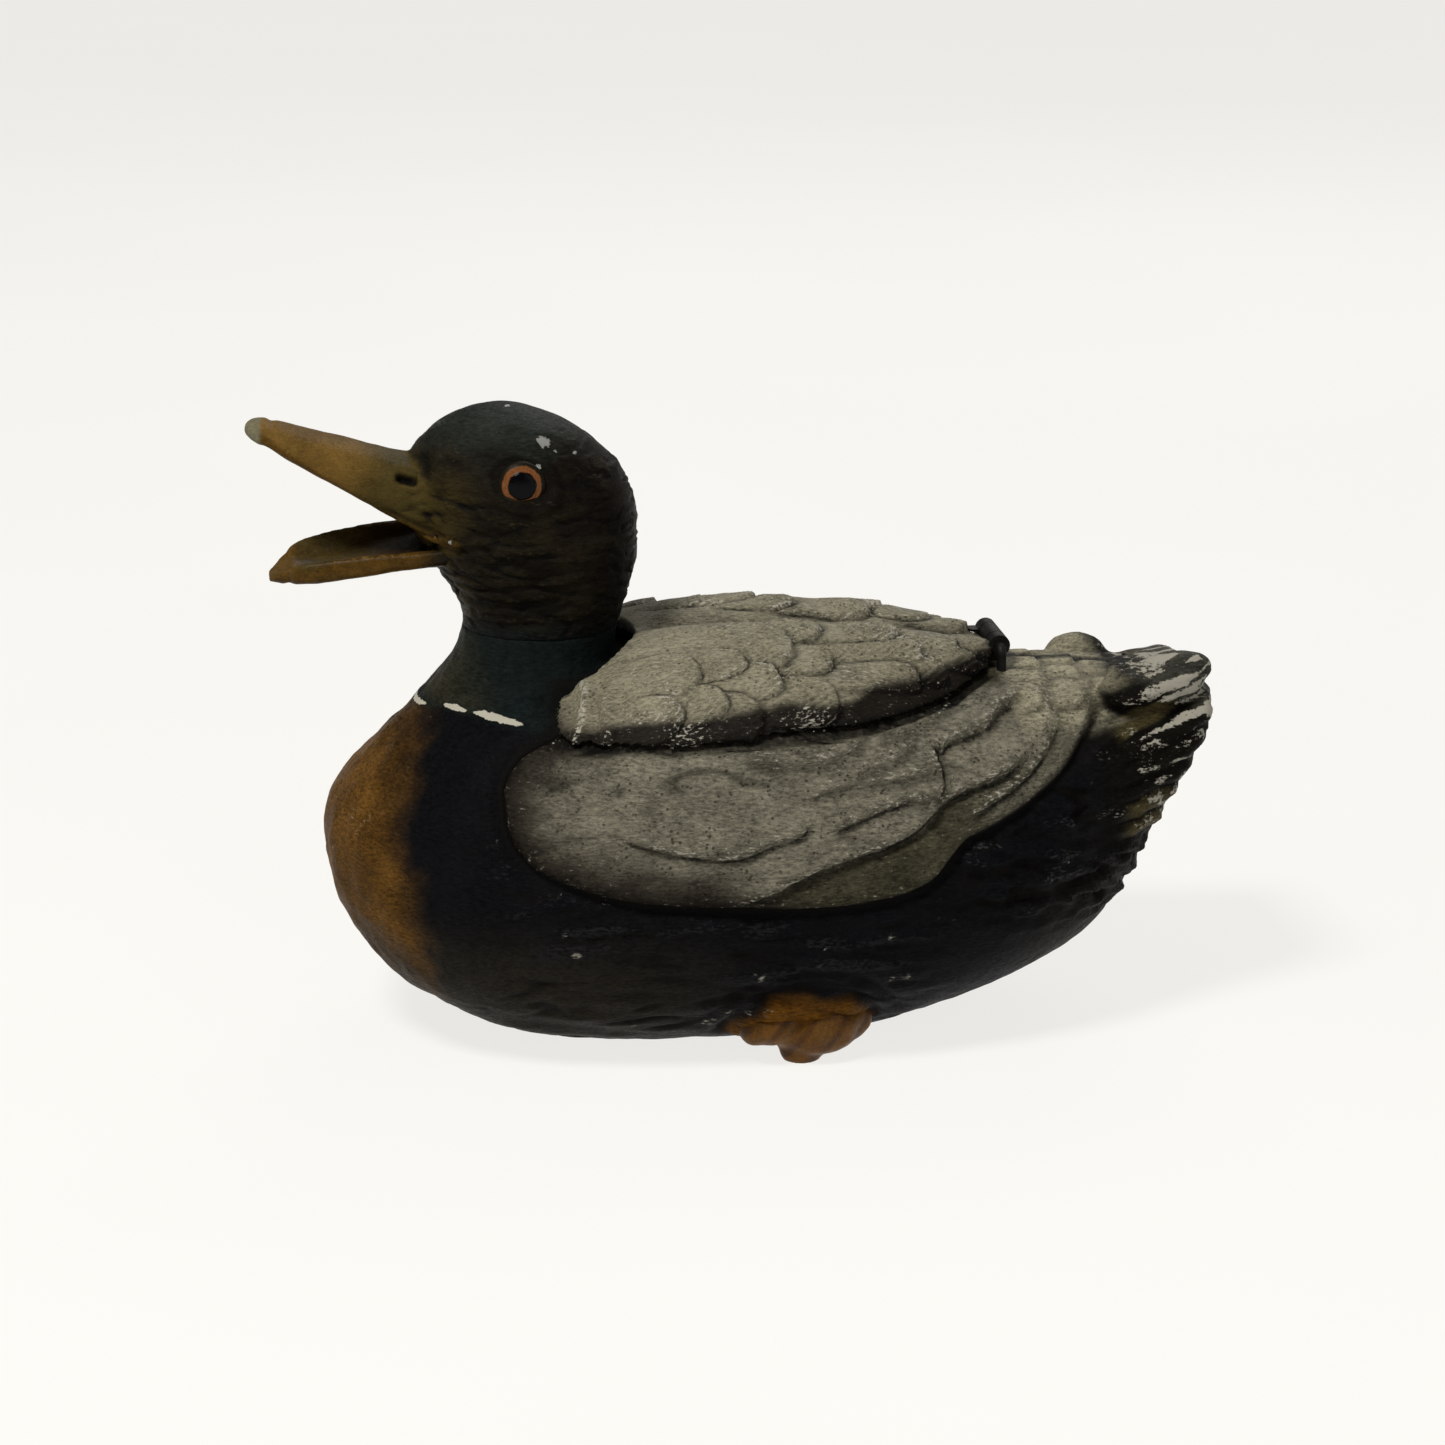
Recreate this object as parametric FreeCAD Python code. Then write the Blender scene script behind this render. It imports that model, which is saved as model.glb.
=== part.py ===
import FreeCAD, Part

# Cold-painted cast-metal duck box with a hinged lid in the form of folded wings.
# Millimetres. +Z is up, the bill points along -X, the duck's left side is -Y.
# The origin is on the table, under the middle of the bounding box.
import math
import os

V = FreeCAD.Vector
ORIGIN = V(0, 0, 0)
ACROSS = V(0, 1, 0)
UP = V(0, 0, 1)
SIDES = {"left": -1, "right": 1}
SECTION_POINTS = 36

# Driving sizes
LENGTH = 186.0
BILL_TIP_X = -LENGTH / 2
TAIL_END_X = LENGTH / 2
WALL = 3.0
SEAT_GAP = 0.35

# Body sections: x, lowest z, highest z, half width, z of the widest point, squareness of the upper half
BODY_SECTIONS = (
    (-80.2, 36.0, 42.0, 5.0, 39.0, 2.0),
    (-78.2, 28.0, 48.0, 14.0, 38.5, 2.0),
    (-73.2, 19.0, 54.5, 24.0, 38.0, 1.9),
    (-64.5, 10.5, 63.0, 33.0, 37.0, 1.8),
    (-53.0, 4.0, 71.0, 39.5, 36.0, 1.9),
    (-40.0, -0.3, 73.5, 43.5, 35.5, 2.2),
    (-20.0, -1.5, 74.0, 46.5, 35.0, 2.6),
    (5.0, -1.5, 73.8, 47.5, 35.0, 2.7),
    (28.0, 0.2, 72.5, 46.0, 36.5, 2.3),
    (45.0, 4.5, 71.0, 42.5, 39.0, 2.0),
    (58.0, 9.0, 69.8, 37.5, 42.5, 1.95),
    (69.0, 15.0, 68.8, 32.0, 46.5, 2.0),
    (77.0, 24.5, 68.0, 27.5, 51.5, 2.2),
    (82.5, 37.0, 67.5, 25.5, 56.5, 2.3),
    (88.0, 47.0, 67.8, 24.0, 61.0, 2.3),
    (91.5, 54.5, 68.3, 21.5, 64.0, 2.3),
    (TAIL_END_X, 59.5, 67.5, 16.0, 64.5, 2.2),
)
LOWER_SQUARENESS = 2.3

# Upturned corners of the tail: centre, radii, and how far the end is raised in degrees
TAIL_CORNERS = (
    ((80.5, -17.0, 68.3), (12.3, 7.5, 5.4), 16.0),
    ((71.5, 13.5, 65.6), (12.0, 8.5, 4.8), 9.0),
)

# Hollow inside the casting: first and last section that it reaches, and the thickness under the lid and in the belly
HOLLOW_FROM, HOLLOW_TO = 2, 12
DECK_THICKNESS = 8.0
FLOOR_THICKNESS = 4.0

# Opening under the lid, with a ledge for the well plate
RECESS_X = 9.0
RECESS_RADII = (25.0, 22.5)
RECESS_FLOOR_Z = 68.2
LEDGE = 3.5
PLATE_THICKNESS = 1.2
PLATE_GAP = 0.15

# Ink pot hanging in the well plate
POT_X = 8.0
POT_RADIUS = 15.0
POT_WALL = 2.2
POT_DEPTH = 30.0
POT_FLANGE_RADIUS = 18.0
POT_FLANGE = 2.0
POT_GAP = 0.3

# Base plate let into the belly, and its countersunk screws
BASE_X = -8.0
BASE_RADII = (28.0, 13.5)
BASE_THICKNESS = 1.6
BASE_LEDGE = 5.0
SCREW_RADIUS = 1.2
SCREW_HEAD_RADIUS = 2.2
SCREW_HEAD_HEIGHT = 1.0
SCREW_LENGTH = 3.6
SCREW_INSET = 2.5
SCREW_COUNT = 4

# Neck and head slices: z, front x, back x, half width
HEAD_SLICES = (
    (60.0, -65.5, -15.0, 27.0),
    (66.0, -61.6, -17.5, 23.0),
    (70.5, -57.6, -20.5, 18.8),
    (76.0, -53.8, -22.6, 15.8),
    (81.5, -52.4, -22.0, 15.2),
    (87.0, -54.0, -20.2, 16.3),
    (92.5, -57.5, -18.8, 17.7),
    (98.5, -61.0, -18.2, 18.8),
    (104.5, -62.8, -18.6, 19.0),
    (110.5, -62.4, -20.8, 17.9),
    (116.0, -59.2, -25.8, 15.0),
    (120.3, -54.3, -32.0, 11.0),
    (122.9, -49.2, -38.0, 6.2),
    (124.0, -45.5, -42.0, 2.2),
)
HEAD_HOLLOW_FROM, HEAD_HOLLOW_TO = 0, 12

# Bills: (x, z) of the root and the end of the middle line, then distance along it, half width, half thickness
UPPER_BILL_LINE = ((-50.0, 104.1), (-92.3, 120.4))
UPPER_BILL_SECTIONS = (
    (0.0, 11.0, 9.0),
    (10.7, 9.8, 6.8),
    (21.4, 8.6, 5.0),
    (32.0, 8.0, 3.4),
    (41.0, 6.8, 2.3),
    (45.2, 3.8, 1.5),
)
LOWER_BILL_LINE = ((-52.0, 98.9), (-88.6, 92.3))
LOWER_BILL_SECTIONS = (
    (0.0, 9.5, 3.6),
    (12.0, 8.6, 2.7),
    (22.0, 7.9, 2.6),
    (32.0, 6.6, 2.5),
    (37.3, 3.6, 1.7),
)
CHANNEL_SHARE = 0.74
CHANNEL_LIFT = 2.0
BILL_SQUARENESS = 2.4

# Eyes: domed studs let into the head
EYE_X, EYE_Z = -42.0, 111.5
EYE_RADIUS = 4.1
EYE_BALL_RADIUS = 6.0
EYE_PROUD = 0.9
EYE_DEPTH = 2.5

# Lid sections: x, half width, highest z
LID_SECTIONS = (
    (-39.5, 25.0, 70.5),
    (-36.5, 31.5, 73.8),
    (-28.0, 36.0, 77.0),
    (-14.0, 38.3, 79.3),
    (2.0, 38.0, 79.8),
    (18.0, 35.0, 79.0),
    (32.0, 29.0, 77.5),
    (42.0, 21.5, 76.0),
    (48.0, 14.5, 75.2),
    (50.0, 11.5, 74.8),
)
LID_WIDE_Z = 58.0
LID_LOW_Z = 50.0
LID_SQUARENESS = 2.8
LID_SKIN = 2.4
LID_RIM = 6.0
NECK_NOTCH_X = -43.0
NECK_NOTCH_RADII = (24.0, 23.5)

# Hinge across the back of the lid
HINGE_X, HINGE_Z = 52.5, 74.2
PIN_RADIUS = 0.95
PIN_CLEARANCE = 0.05
KNUCKLE_RADIUS = 2.1
LUG_HALF_LENGTH = 3.4
KNUCKLE_GAP = 0.35
KNUCKLE_LENGTH = 3.4
KNUCKLE_STRAP = 1.2
STRAP_REACH = 6.5
PIN_OVERHANG = 0.4
PIN_BEND = 1.5
PIN_TAIL = 3.1

# Feet: two overlapping lobes each, cut off by the body and the table
FOOT_LOBES = (
    ((12.0, 29.0, 7.0), (12.6, 10.5, 7.5)),
    ((10.5, 29.5, 2.5), (6.0, 5.0, 4.5)),
)


def closed_wire(points):
    """A closed smooth wire through the points."""
    curve = Part.BSplineCurve()
    curve.interpolate(Points=points, PeriodicFlag=True)
    return Part.Wire([curve.toShape()])


def round_turns():
    """The turns at which every section has its points."""
    return [2 * math.pi * i / SECTION_POINTS for i in range(SECTION_POINTS)]


def squared(value, squareness):
    """A sine or cosine bent towards a rounded square: 2 leaves it round."""
    return math.copysign(abs(value) ** (2.0 / squareness), value)


def upright_section(x, z_low, z_high, half_width, z_wide, square_top, square_low):
    """A closed section across X, with its own roundness above and below the widest point."""
    points = []
    for turn in round_turns():
        upper = math.sin(turn) >= 0
        squareness = square_top if upper else square_low
        rise = z_high - z_wide if upper else z_wide - z_low
        y = half_width * squared(math.cos(turn), squareness)
        z = z_wide + rise * squared(math.sin(turn), squareness)
        points.append(V(x, y, z))
    return closed_wire(points)


def loft(wires):
    return Part.makeLoft(wires, True, False)


def body_loft(grow, deck=0.0, first=0, last=None):
    """The body's outside moved outwards by grow, with its top then lowered by deck."""
    wires = []
    for x, low, high, width, wide, square in BODY_SECTIONS[first:last]:
        size = (low - grow, high + grow - deck, width + grow, wide)
        wires.append(upright_section(x, *size, square, LOWER_SQUARENESS))
    return loft(wires)


def head_loft(shrink, first=0, last=None):
    """The neck and head, moved inwards by shrink."""
    wires = []
    for z, front, back, half_width in HEAD_SLICES[first:last]:
        middle = (front + back) / 2
        reach = (back - front) / 2 - shrink
        points = [
            V(middle + reach * math.cos(turn), (half_width - shrink) * math.sin(turn), z)
            for turn in round_turns()
        ]
        wires.append(closed_wire(points))
    return loft(wires)


def bill_loft(line, sections, share=1.0, lift=0.0):
    """A flat tapering bar along a line in the middle plane, narrowed to share and moved up by lift."""
    (x0, z0), (x1, z1) = line
    along = V(x1 - x0, 0, z1 - z0).normalize()
    over = ACROSS.cross(along)
    wires = []
    for distance, half_width, half_thickness in sections:
        centre = V(x0, 0, z0) + along * distance + over * lift
        points = []
        for turn in round_turns():
            y = share * half_width * squared(math.cos(turn), BILL_SQUARENESS)
            rise = half_thickness * squared(math.sin(turn), BILL_SQUARENESS)
            points.append(centre + ACROSS * y + over * rise)
        wires.append(closed_wire(points))
    return loft(wires)


def lid_loft(shrink, rim, first=0, last=None):
    """The lid's outside, moved in by shrink at the top and by rim at the sides."""
    wires = []
    for x, half_width, high in LID_SECTIONS[first:last]:
        size = (LID_LOW_Z, high - shrink, half_width - rim, LID_WIDE_Z)
        wires.append(upright_section(x, *size, LID_SQUARENESS, 2.0))
    return loft(wires)


def ellipse_column(x, radii, z_from, z_to):
    """An upright elliptical column, longer along X."""
    ring = Part.Ellipse(V(x, 0, z_from), radii[0], radii[1]).toShape()
    return Part.Face(Part.Wire([ring])).extrude(V(0, 0, z_to - z_from))


def inset(radii, distance):
    return (radii[0] - distance, radii[1] - distance)


def ellipsoid(centre, radii, tilt=0.0):
    """A ball stretched to the radii, its +X end raised by tilt degrees."""
    matrix = FreeCAD.Matrix()
    matrix.scale(V(*radii))
    ball = Part.makeSphere(1.0).transformGeometry(matrix)
    ball.rotate(ORIGIN, ACROSS, -tilt)
    ball.translate(V(*centre))
    return ball


def slab(z_from, z_to):
    """A block much wider than the duck between two heights."""
    return Part.makeBox(2 * LENGTH, LENGTH, z_to - z_from, V(-LENGTH, -LENGTH / 2, z_from))


def below_table():
    return slab(-LENGTH, 0.0)


def make_body_outside():
    outside = body_loft(0.0)
    for centre, radii, tilt in TAIL_CORNERS:
        outside = outside.fuse(ellipsoid(centre, radii, tilt))
    return outside.cut(below_table())


def screw_places():
    radii = inset(BASE_RADII, SCREW_INSET)
    turns = [2 * math.pi * i / SCREW_COUNT for i in range(SCREW_COUNT)]
    return [V(BASE_X + radii[0] * math.cos(t), radii[1] * math.sin(t), 0) for t in turns]


def screw(place, tip_z):
    head = Part.makeCone(SCREW_HEAD_RADIUS, SCREW_RADIUS, SCREW_HEAD_HEIGHT, place)
    shank = Part.makeCylinder(SCREW_RADIUS, tip_z, place)
    return head.fuse(shank).removeSplitter()


def make_body_casting(outside):
    hollow = body_loft(-WALL, DECK_THICKNESS - WALL, HOLLOW_FROM, HOLLOW_TO)
    hollow = hollow.cut(slab(-LENGTH, FLOOR_THICKNESS))
    casting = outside.cut(hollow)
    openings = [
        ellipse_column(RECESS_X, RECESS_RADII, RECESS_FLOOR_Z, LENGTH),
        ellipse_column(RECESS_X, inset(RECESS_RADII, LEDGE), LENGTH / 4, LENGTH),
        ellipse_column(BASE_X, BASE_RADII, -1.0, BASE_THICKNESS),
        ellipse_column(BASE_X, inset(BASE_RADII, BASE_LEDGE), -1.0, 2 * FLOOR_THICKNESS),
    ]
    for opening in openings + [screw(place, SCREW_LENGTH) for place in screw_places()]:
        casting = casting.cut(opening)
    return casting


def make_base_plate():
    plate = ellipse_column(BASE_X, inset(BASE_RADII, PLATE_GAP), 0.0, BASE_THICKNESS)
    for place in screw_places():
        plate = plate.cut(screw(place, SCREW_LENGTH))
    return plate


def make_base_screws():
    return Part.makeCompound([screw(place, SCREW_LENGTH) for place in screw_places()])


def make_well_plate():
    top = RECESS_FLOOR_Z + PLATE_THICKNESS
    plate = ellipse_column(RECESS_X, inset(RECESS_RADII, PLATE_GAP), RECESS_FLOOR_Z, top)
    hole = Part.makeCylinder(POT_RADIUS + POT_GAP, LENGTH, V(POT_X, 0, 0))
    return plate.cut(hole)


def make_ink_pot():
    rim_z = RECESS_FLOOR_Z + PLATE_THICKNESS
    foot_z = rim_z - POT_DEPTH
    cup = Part.makeCylinder(POT_RADIUS, POT_DEPTH, V(POT_X, 0, foot_z))
    flange = Part.makeCylinder(POT_FLANGE_RADIUS, POT_FLANGE, V(POT_X, 0, rim_z))
    inside_radius = POT_RADIUS - POT_WALL
    inside = Part.makeCylinder(inside_radius, LENGTH, V(POT_X, 0, foot_z + POT_WALL))
    return cup.fuse(flange).removeSplitter().cut(inside)


def make_eye_stud(side):
    """A short round stud with a domed face, set square to the side of the head."""
    middle = (HEAD_SLICES[9][1] + HEAD_SLICES[9][2]) / 2
    reach = (HEAD_SLICES[9][2] - HEAD_SLICES[9][1]) / 2
    skin_y = HEAD_SLICES[9][3] * math.sqrt(1 - ((EYE_X - middle) / reach) ** 2)
    tip_y = skin_y + EYE_PROUD
    ball = Part.makeSphere(EYE_BALL_RADIUS, V(EYE_X, side * (tip_y - EYE_BALL_RADIUS), EYE_Z))
    start = V(EYE_X, side * (skin_y - EYE_DEPTH), EYE_Z)
    stud = Part.makeCylinder(EYE_RADIUS, EYE_DEPTH + 2 * EYE_PROUD, start, ACROSS * side)
    return stud.common(ball)


def make_head_outside():
    return head_loft(0.0).fuse(bill_loft(UPPER_BILL_LINE, UPPER_BILL_SECTIONS))


def make_head_casting(head_outside, body_outside, eyes):
    hollow = head_loft(WALL, HEAD_HOLLOW_FROM, HEAD_HOLLOW_TO)
    casting = head_outside.cut(hollow).cut(body_outside)
    for eye in eyes:
        casting = casting.cut(eye)
    return casting


def make_lower_bill(head_outside):
    bar = bill_loft(LOWER_BILL_LINE, LOWER_BILL_SECTIONS)
    channel = bill_loft(LOWER_BILL_LINE, LOWER_BILL_SECTIONS[:-1], CHANNEL_SHARE, CHANNEL_LIFT)
    return bar.cut(channel).cut(head_outside)


def make_foot(side, body_outside):
    (x, y, z), radii = FOOT_LOBES[0]
    foot = ellipsoid((x, side * y, z), radii)
    for (x, y, z), radii in FOOT_LOBES[1:]:
        foot = foot.fuse(ellipsoid((x, side * y, z), radii))
    return foot.cut(below_table()).cut(body_outside)


def make_wing_lid():
    lid = lid_loft(0.0, 0.0)
    lid = lid.cut(body_loft(SEAT_GAP))
    lid = lid.cut(lid_loft(LID_SKIN, LID_RIM, 1, -2))
    return lid.cut(ellipse_column(NECK_NOTCH_X, NECK_NOTCH_RADII, 0.0, LENGTH))


def hinge_barrel(y_from, y_to, radius):
    return Part.makeCylinder(radius, y_to - y_from, V(HINGE_X, y_from, HINGE_Z), ACROSS)


def make_hinge_lug(body_outside):
    """The body's long middle knuckle, on a block soldered to its back."""
    barrel = hinge_barrel(-LUG_HALF_LENGTH, LUG_HALF_LENGTH, KNUCKLE_RADIUS)
    size = (2 * KNUCKLE_RADIUS, 2 * LUG_HALF_LENGTH, HINGE_Z / 2)
    corner = V(HINGE_X - KNUCKLE_RADIUS, -LUG_HALF_LENGTH, HINGE_Z / 2)
    block = Part.makeBox(*size, corner)
    lug = barrel.fuse(block).cut(body_outside)
    return lug.cut(hinge_barrel(-LUG_HALF_LENGTH, LUG_HALF_LENGTH, PIN_RADIUS))


def make_lid_knuckle(side, lid):
    """A strap curled round the pin and soldered to the back edge of the lid."""
    inner = LUG_HALF_LENGTH + KNUCKLE_GAP
    outer = inner + KNUCKLE_LENGTH
    y_from, y_to = sorted((side * inner, side * outer))
    corner = V(HINGE_X - STRAP_REACH, y_from, HINGE_Z - KNUCKLE_STRAP / 2)
    strap = Part.makeBox(STRAP_REACH, KNUCKLE_LENGTH, KNUCKLE_STRAP, corner)
    knuckle = hinge_barrel(y_from, y_to, KNUCKLE_RADIUS).fuse(strap)
    knuckle = knuckle.cut(hinge_barrel(y_from, y_to, PIN_RADIUS + PIN_CLEARANCE))
    return knuckle.cut(lid)


def make_hinge_pin():
    """A straight pin whose two ends are bent down outside the knuckles."""
    straight = LUG_HALF_LENGTH + KNUCKLE_GAP + KNUCKLE_LENGTH + PIN_OVERHANG
    corner = straight + PIN_BEND
    cut = PIN_BEND * (1 - math.sqrt(0.5))
    low = HINGE_Z - PIN_BEND

    def point(y, z):
        return V(HINGE_X, y, z)

    edges = [
        Part.LineSegment(point(-corner, low - PIN_TAIL), point(-corner, low)).toShape(),
        Part.Arc(point(-corner, low), point(cut - corner, HINGE_Z - cut), point(-straight, HINGE_Z)).toShape(),
        Part.LineSegment(point(-straight, HINGE_Z), point(straight, HINGE_Z)).toShape(),
        Part.Arc(point(straight, HINGE_Z), point(corner - cut, HINGE_Z - cut), point(corner, low)).toShape(),
        Part.LineSegment(point(corner, low), point(corner, low - PIN_TAIL)).toShape(),
    ]
    ring = Part.Circle(point(-corner, low - PIN_TAIL), UP, PIN_RADIUS).toShape()
    return Part.Wire(edges).makePipeShell([Part.Wire([ring])], True, True)


def make_parts():
    body_outside = make_body_outside()
    head_outside = make_head_outside()
    eyes = {name: make_eye_stud(side) for name, side in SIDES.items()}
    lid = make_wing_lid()
    parts = {
        "body_casting": make_body_casting(body_outside),
        "base_plate": make_base_plate(),
        "base_screws": make_base_screws(),
        "well_plate": make_well_plate(),
        "ink_pot": make_ink_pot(),
        "head_casting": make_head_casting(head_outside, body_outside, eyes.values()),
        "lower_bill": make_lower_bill(head_outside),
        "hinge_lug": make_hinge_lug(body_outside),
        "hinge_pin": make_hinge_pin(),
        "wing_lid": lid,
    }
    for name, side in SIDES.items():
        parts[name + "_eye"] = eyes[name]
        parts[name + "_foot"] = make_foot(side, body_outside)
        parts[name + "_lid_knuckle"] = make_lid_knuckle(side, lid)
    return parts


def report(name, shape):
    box = shape.optimalBoundingBox()
    low = (round(box.XMin, 2), round(box.YMin, 2), round(box.ZMin, 2))
    high = (round(box.XMax, 2), round(box.YMax, 2), round(box.ZMax, 2))
    volume = round(shape.Volume / 1000, 2)
    print(name, "solids", len(shape.Solids), "valid", shape.isValid(), "cm3", volume, low, high)


def main():
    os.makedirs("parts", exist_ok=True)
    for name, shape in make_parts().items():
        shape.exportStep("parts/" + name + ".step")
        report(name, shape)


main()
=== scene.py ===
"""Looks of a cold-painted cast-metal duck desk box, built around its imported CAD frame.

Shapes are worked out in millimetres in the CAD frame, and become metres when a mesh is made.
The near side of the duck is -Y and its bill points to -X. The far side mirrors it, apart from its
tail corner, which is lower, and small shifts in the feathers of the lid."""

import itertools
import math

import bpy
import numpy as np
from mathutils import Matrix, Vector


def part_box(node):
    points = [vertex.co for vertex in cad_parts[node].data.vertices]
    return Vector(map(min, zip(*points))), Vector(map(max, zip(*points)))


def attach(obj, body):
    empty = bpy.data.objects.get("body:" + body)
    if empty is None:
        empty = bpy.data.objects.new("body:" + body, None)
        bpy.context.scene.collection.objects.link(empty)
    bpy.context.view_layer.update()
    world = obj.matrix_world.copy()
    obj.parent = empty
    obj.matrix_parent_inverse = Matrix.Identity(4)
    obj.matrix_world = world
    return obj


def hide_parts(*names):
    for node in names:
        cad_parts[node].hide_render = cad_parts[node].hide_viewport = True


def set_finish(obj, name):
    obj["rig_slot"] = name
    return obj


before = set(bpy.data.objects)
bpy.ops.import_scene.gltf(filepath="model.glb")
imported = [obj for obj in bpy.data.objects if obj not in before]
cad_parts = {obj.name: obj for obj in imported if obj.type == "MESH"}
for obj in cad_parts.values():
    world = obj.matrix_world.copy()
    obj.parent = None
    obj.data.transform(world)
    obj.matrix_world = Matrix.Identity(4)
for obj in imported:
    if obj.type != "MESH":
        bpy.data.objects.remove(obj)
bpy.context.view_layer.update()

MM = 0.001

# ---------------------------------------------------------------- driving sizes
# They are the CAD's, with the front of the head, the front of the lid and the tail corners a little reshaped.
# x, bottom, top, half width, height of the widest place, squareness of the top
BODY_SECTIONS = (
    (-80.2, 36, 42, 5, 39, 2.0), (-78.2, 28, 48, 14, 38.5, 2.0), (-73.2, 19, 54.5, 24, 38, 1.9),
    (-64.5, 10.5, 63, 33, 37, 1.8), (-53, 4, 71, 39.5, 36, 1.9), (-40, -0.3, 73.5, 43.5, 35.5, 2.2),
    (-20, -1.5, 74, 46.5, 35, 2.6), (5, -1.5, 73.8, 47.5, 35, 2.7), (28, 0.2, 72.5, 46, 36.5, 2.3),
    (45, 4.5, 71, 42.5, 39, 2.0), (58, 9, 69.8, 37.5, 42.5, 1.95), (69, 15, 68.8, 32, 46.5, 2.0),
    (77, 24.5, 68, 27.5, 51.5, 2.2), (82.5, 37, 67.5, 25.5, 56.5, 2.3), (88, 47, 67.8, 24, 61, 2.3),
    (91.5, 54.5, 68.3, 21.5, 64, 2.3), (93, 59.5, 67.5, 16, 64.5, 2.2),
)
LOWER_SQUARENESS = 2.3
TAIL_CORNERS = (((81.4, -17, 68.4), (11.8, 7.0, 4.9), 18.0), ((72.8, 14.5, 65.3), (6.4, 7.0, 5.1), 6.0))
RECESS = (9, 25, 22.5)
WELL = (9, 21.5, 19)
RECESS_FLOOR_Z = 68.2
BASE = (-8, 28, 13.5)
BASE_THICKNESS = 1.6
# height, front x, back x, half width
HEAD_SLICES = (
    (60, -65.5, -15, 27), (66, -61.6, -17.5, 23), (70.5, -57.6, -20.5, 18.8), (76, -53.8, -22.6, 15.8),
    (81.5, -52.4, -22, 15.2), (87, -54, -20.2, 16.3), (92.5, -57.5, -18.8, 17.7), (98.5, -61, -18.2, 18.8),
    (104.5, -63.0, -18.6, 19), (110.5, -63.6, -20.8, 17.9), (116, -61.2, -25.8, 15), (120.3, -56.6, -32, 11),
    (122.9, -51.4, -38, 6.2), (124, -47.0, -42, 2.2),
)
UPPER_BILL_LINE = ((-50, 104.1), (-92.3, 120.4))
LOWER_BILL_LINE = ((-52, 98.9), (-88.6, 92.3))
EYE = (-42, 111.5)
# x, half width, top
LID_SECTIONS = (
    (-40.4, 30.5, 69.6), (-38.2, 33.0, 71.2), (-34, 34.8, 74.2), (-28, 36.2, 76.9), (-14, 38.3, 79.3),
    (2, 38, 79.8), (18, 35, 79), (32, 29, 77.5), (42, 21.5, 76), (48, 14.5, 75.2), (50, 11.5, 74.8),
)
LID_WIDE_Z, LID_LOW_Z, LID_SQUARENESS = 58, 50, 2.8
LID_SKIN, LID_RIM, SEAT_GAP = 2.4, 6.0, 0.35
NECK_NOTCH = (-43, 24, 23.5)


# ---------------------------------------------------------------- numbers and curves
LATTICE = np.random.default_rng(11).normal(size=(32, 32, 32, 3))
LATTICE /= np.linalg.norm(LATTICE, axis=3, keepdims=True)


def noise(points, size, shift=0.0):
    """Smooth noise from -1 to 1 with lumps about size across: one number, or one for each axis."""
    place = points / (1.35 * np.asarray(size, float)) + shift
    cell = np.floor(place).astype(int)
    part = place - cell
    blend = part ** 3 * (part * (part * 6 - 15) + 10)
    total = np.zeros(len(points))
    for corner in itertools.product((0, 1), repeat=3):
        weight = np.prod(np.where(corner, blend, 1 - blend), axis=1)
        i = (cell + corner) % 32
        total += weight * ((part - corner) * LATTICE[i[:, 0], i[:, 1], i[:, 2]]).sum(axis=1)
    return 1.7 * total


def rough(points, size, shift=0.0, octaves=3):
    """Noise with finer noise added to it."""
    layers = [noise(points, np.asarray(size, float) / 1.9 ** k, shift + 5.3 * k) / 1.8 ** k
              for k in range(octaves)]
    return sum(layers)


def creases(points, size, shift, width=0.22):
    """Thin broken lines that wander along the longest axis of size: 1 on a line and 0 away from it."""
    line = np.abs(noise(points, size, shift))
    broken = ramp(noise(points, np.asarray(size, float) * 0.8, shift + 7.7), -0.15, 0.25)
    return broken * ramp(-line, -width, -0.3 * width)


def ramp(value, low, high):
    """0 below low, 1 above high, and a smooth rise between them."""
    share = np.clip((value - low) / (high - low), 0, 1)
    return share * share * (3 - 2 * share)


def hill(value, width):
    return np.exp(-(value / width) ** 2)


def mix(first, second, share):
    share = np.asarray(share)[..., None] if np.ndim(share) else share
    return np.asarray(first) * (1 - share) + np.asarray(second) * share


def eased(rows, steps):
    """Control rows joined by a smooth curve, with this many steps in each span."""
    rows = np.array(rows, float)
    lengths = np.linalg.norm(np.diff(rows[:, :4], axis=0), axis=1) ** 0.7
    at = np.concatenate([[0], np.cumsum(lengths)])
    slopes = np.gradient(rows, at, axis=0)
    result = []
    for i, length in enumerate(lengths):
        for t in np.arange(steps) / steps:
            a, b = 2 * t ** 3 - 3 * t ** 2 + 1, t ** 3 - 2 * t ** 2 + t
            c, d = -2 * t ** 3 + 3 * t ** 2, t ** 3 - t ** 2
            result.append(a * rows[i] + b * length * slopes[i] + c * rows[i + 1] + d * length * slopes[i + 1])
    return np.array(result + [rows[-1]])


def curve_field(flat, curve, steps=5):
    """How far flat points are from a curve, positive on its left, and where along it from 0 to 1."""
    line = eased(np.array(curve, float), steps)
    best = np.full(len(flat), 1e9)
    side = np.ones(len(flat))
    along = np.zeros(len(flat))
    for i in range(len(line) - 1):
        start, way = line[i], line[i + 1] - line[i]
        offset = flat - start
        share = np.clip(offset @ way / (way @ way), 0, 1)
        apart = offset - share[:, None] * way
        distance = np.hypot(apart[:, 0], apart[:, 1])
        closer = distance < best
        turn = way[0] * offset[:, 1] - way[1] * offset[:, 0]
        best = np.where(closer, distance, best)
        side = np.where(closer, np.where(turn >= 0, 1.0, -1.0), side)
        along = np.where(closer, (i + share) / (len(line) - 1), along)
    return best * side, along


# ---------------------------------------------------------------- closed forms
ROUND = np.linspace(0, 2 * math.pi, 97)[:-1]


def squared(value, squareness):
    """A sine or cosine bent towards a rounded square: 2 leaves it round."""
    return np.copysign(np.abs(value) ** (2.0 / squareness), value)


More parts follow.
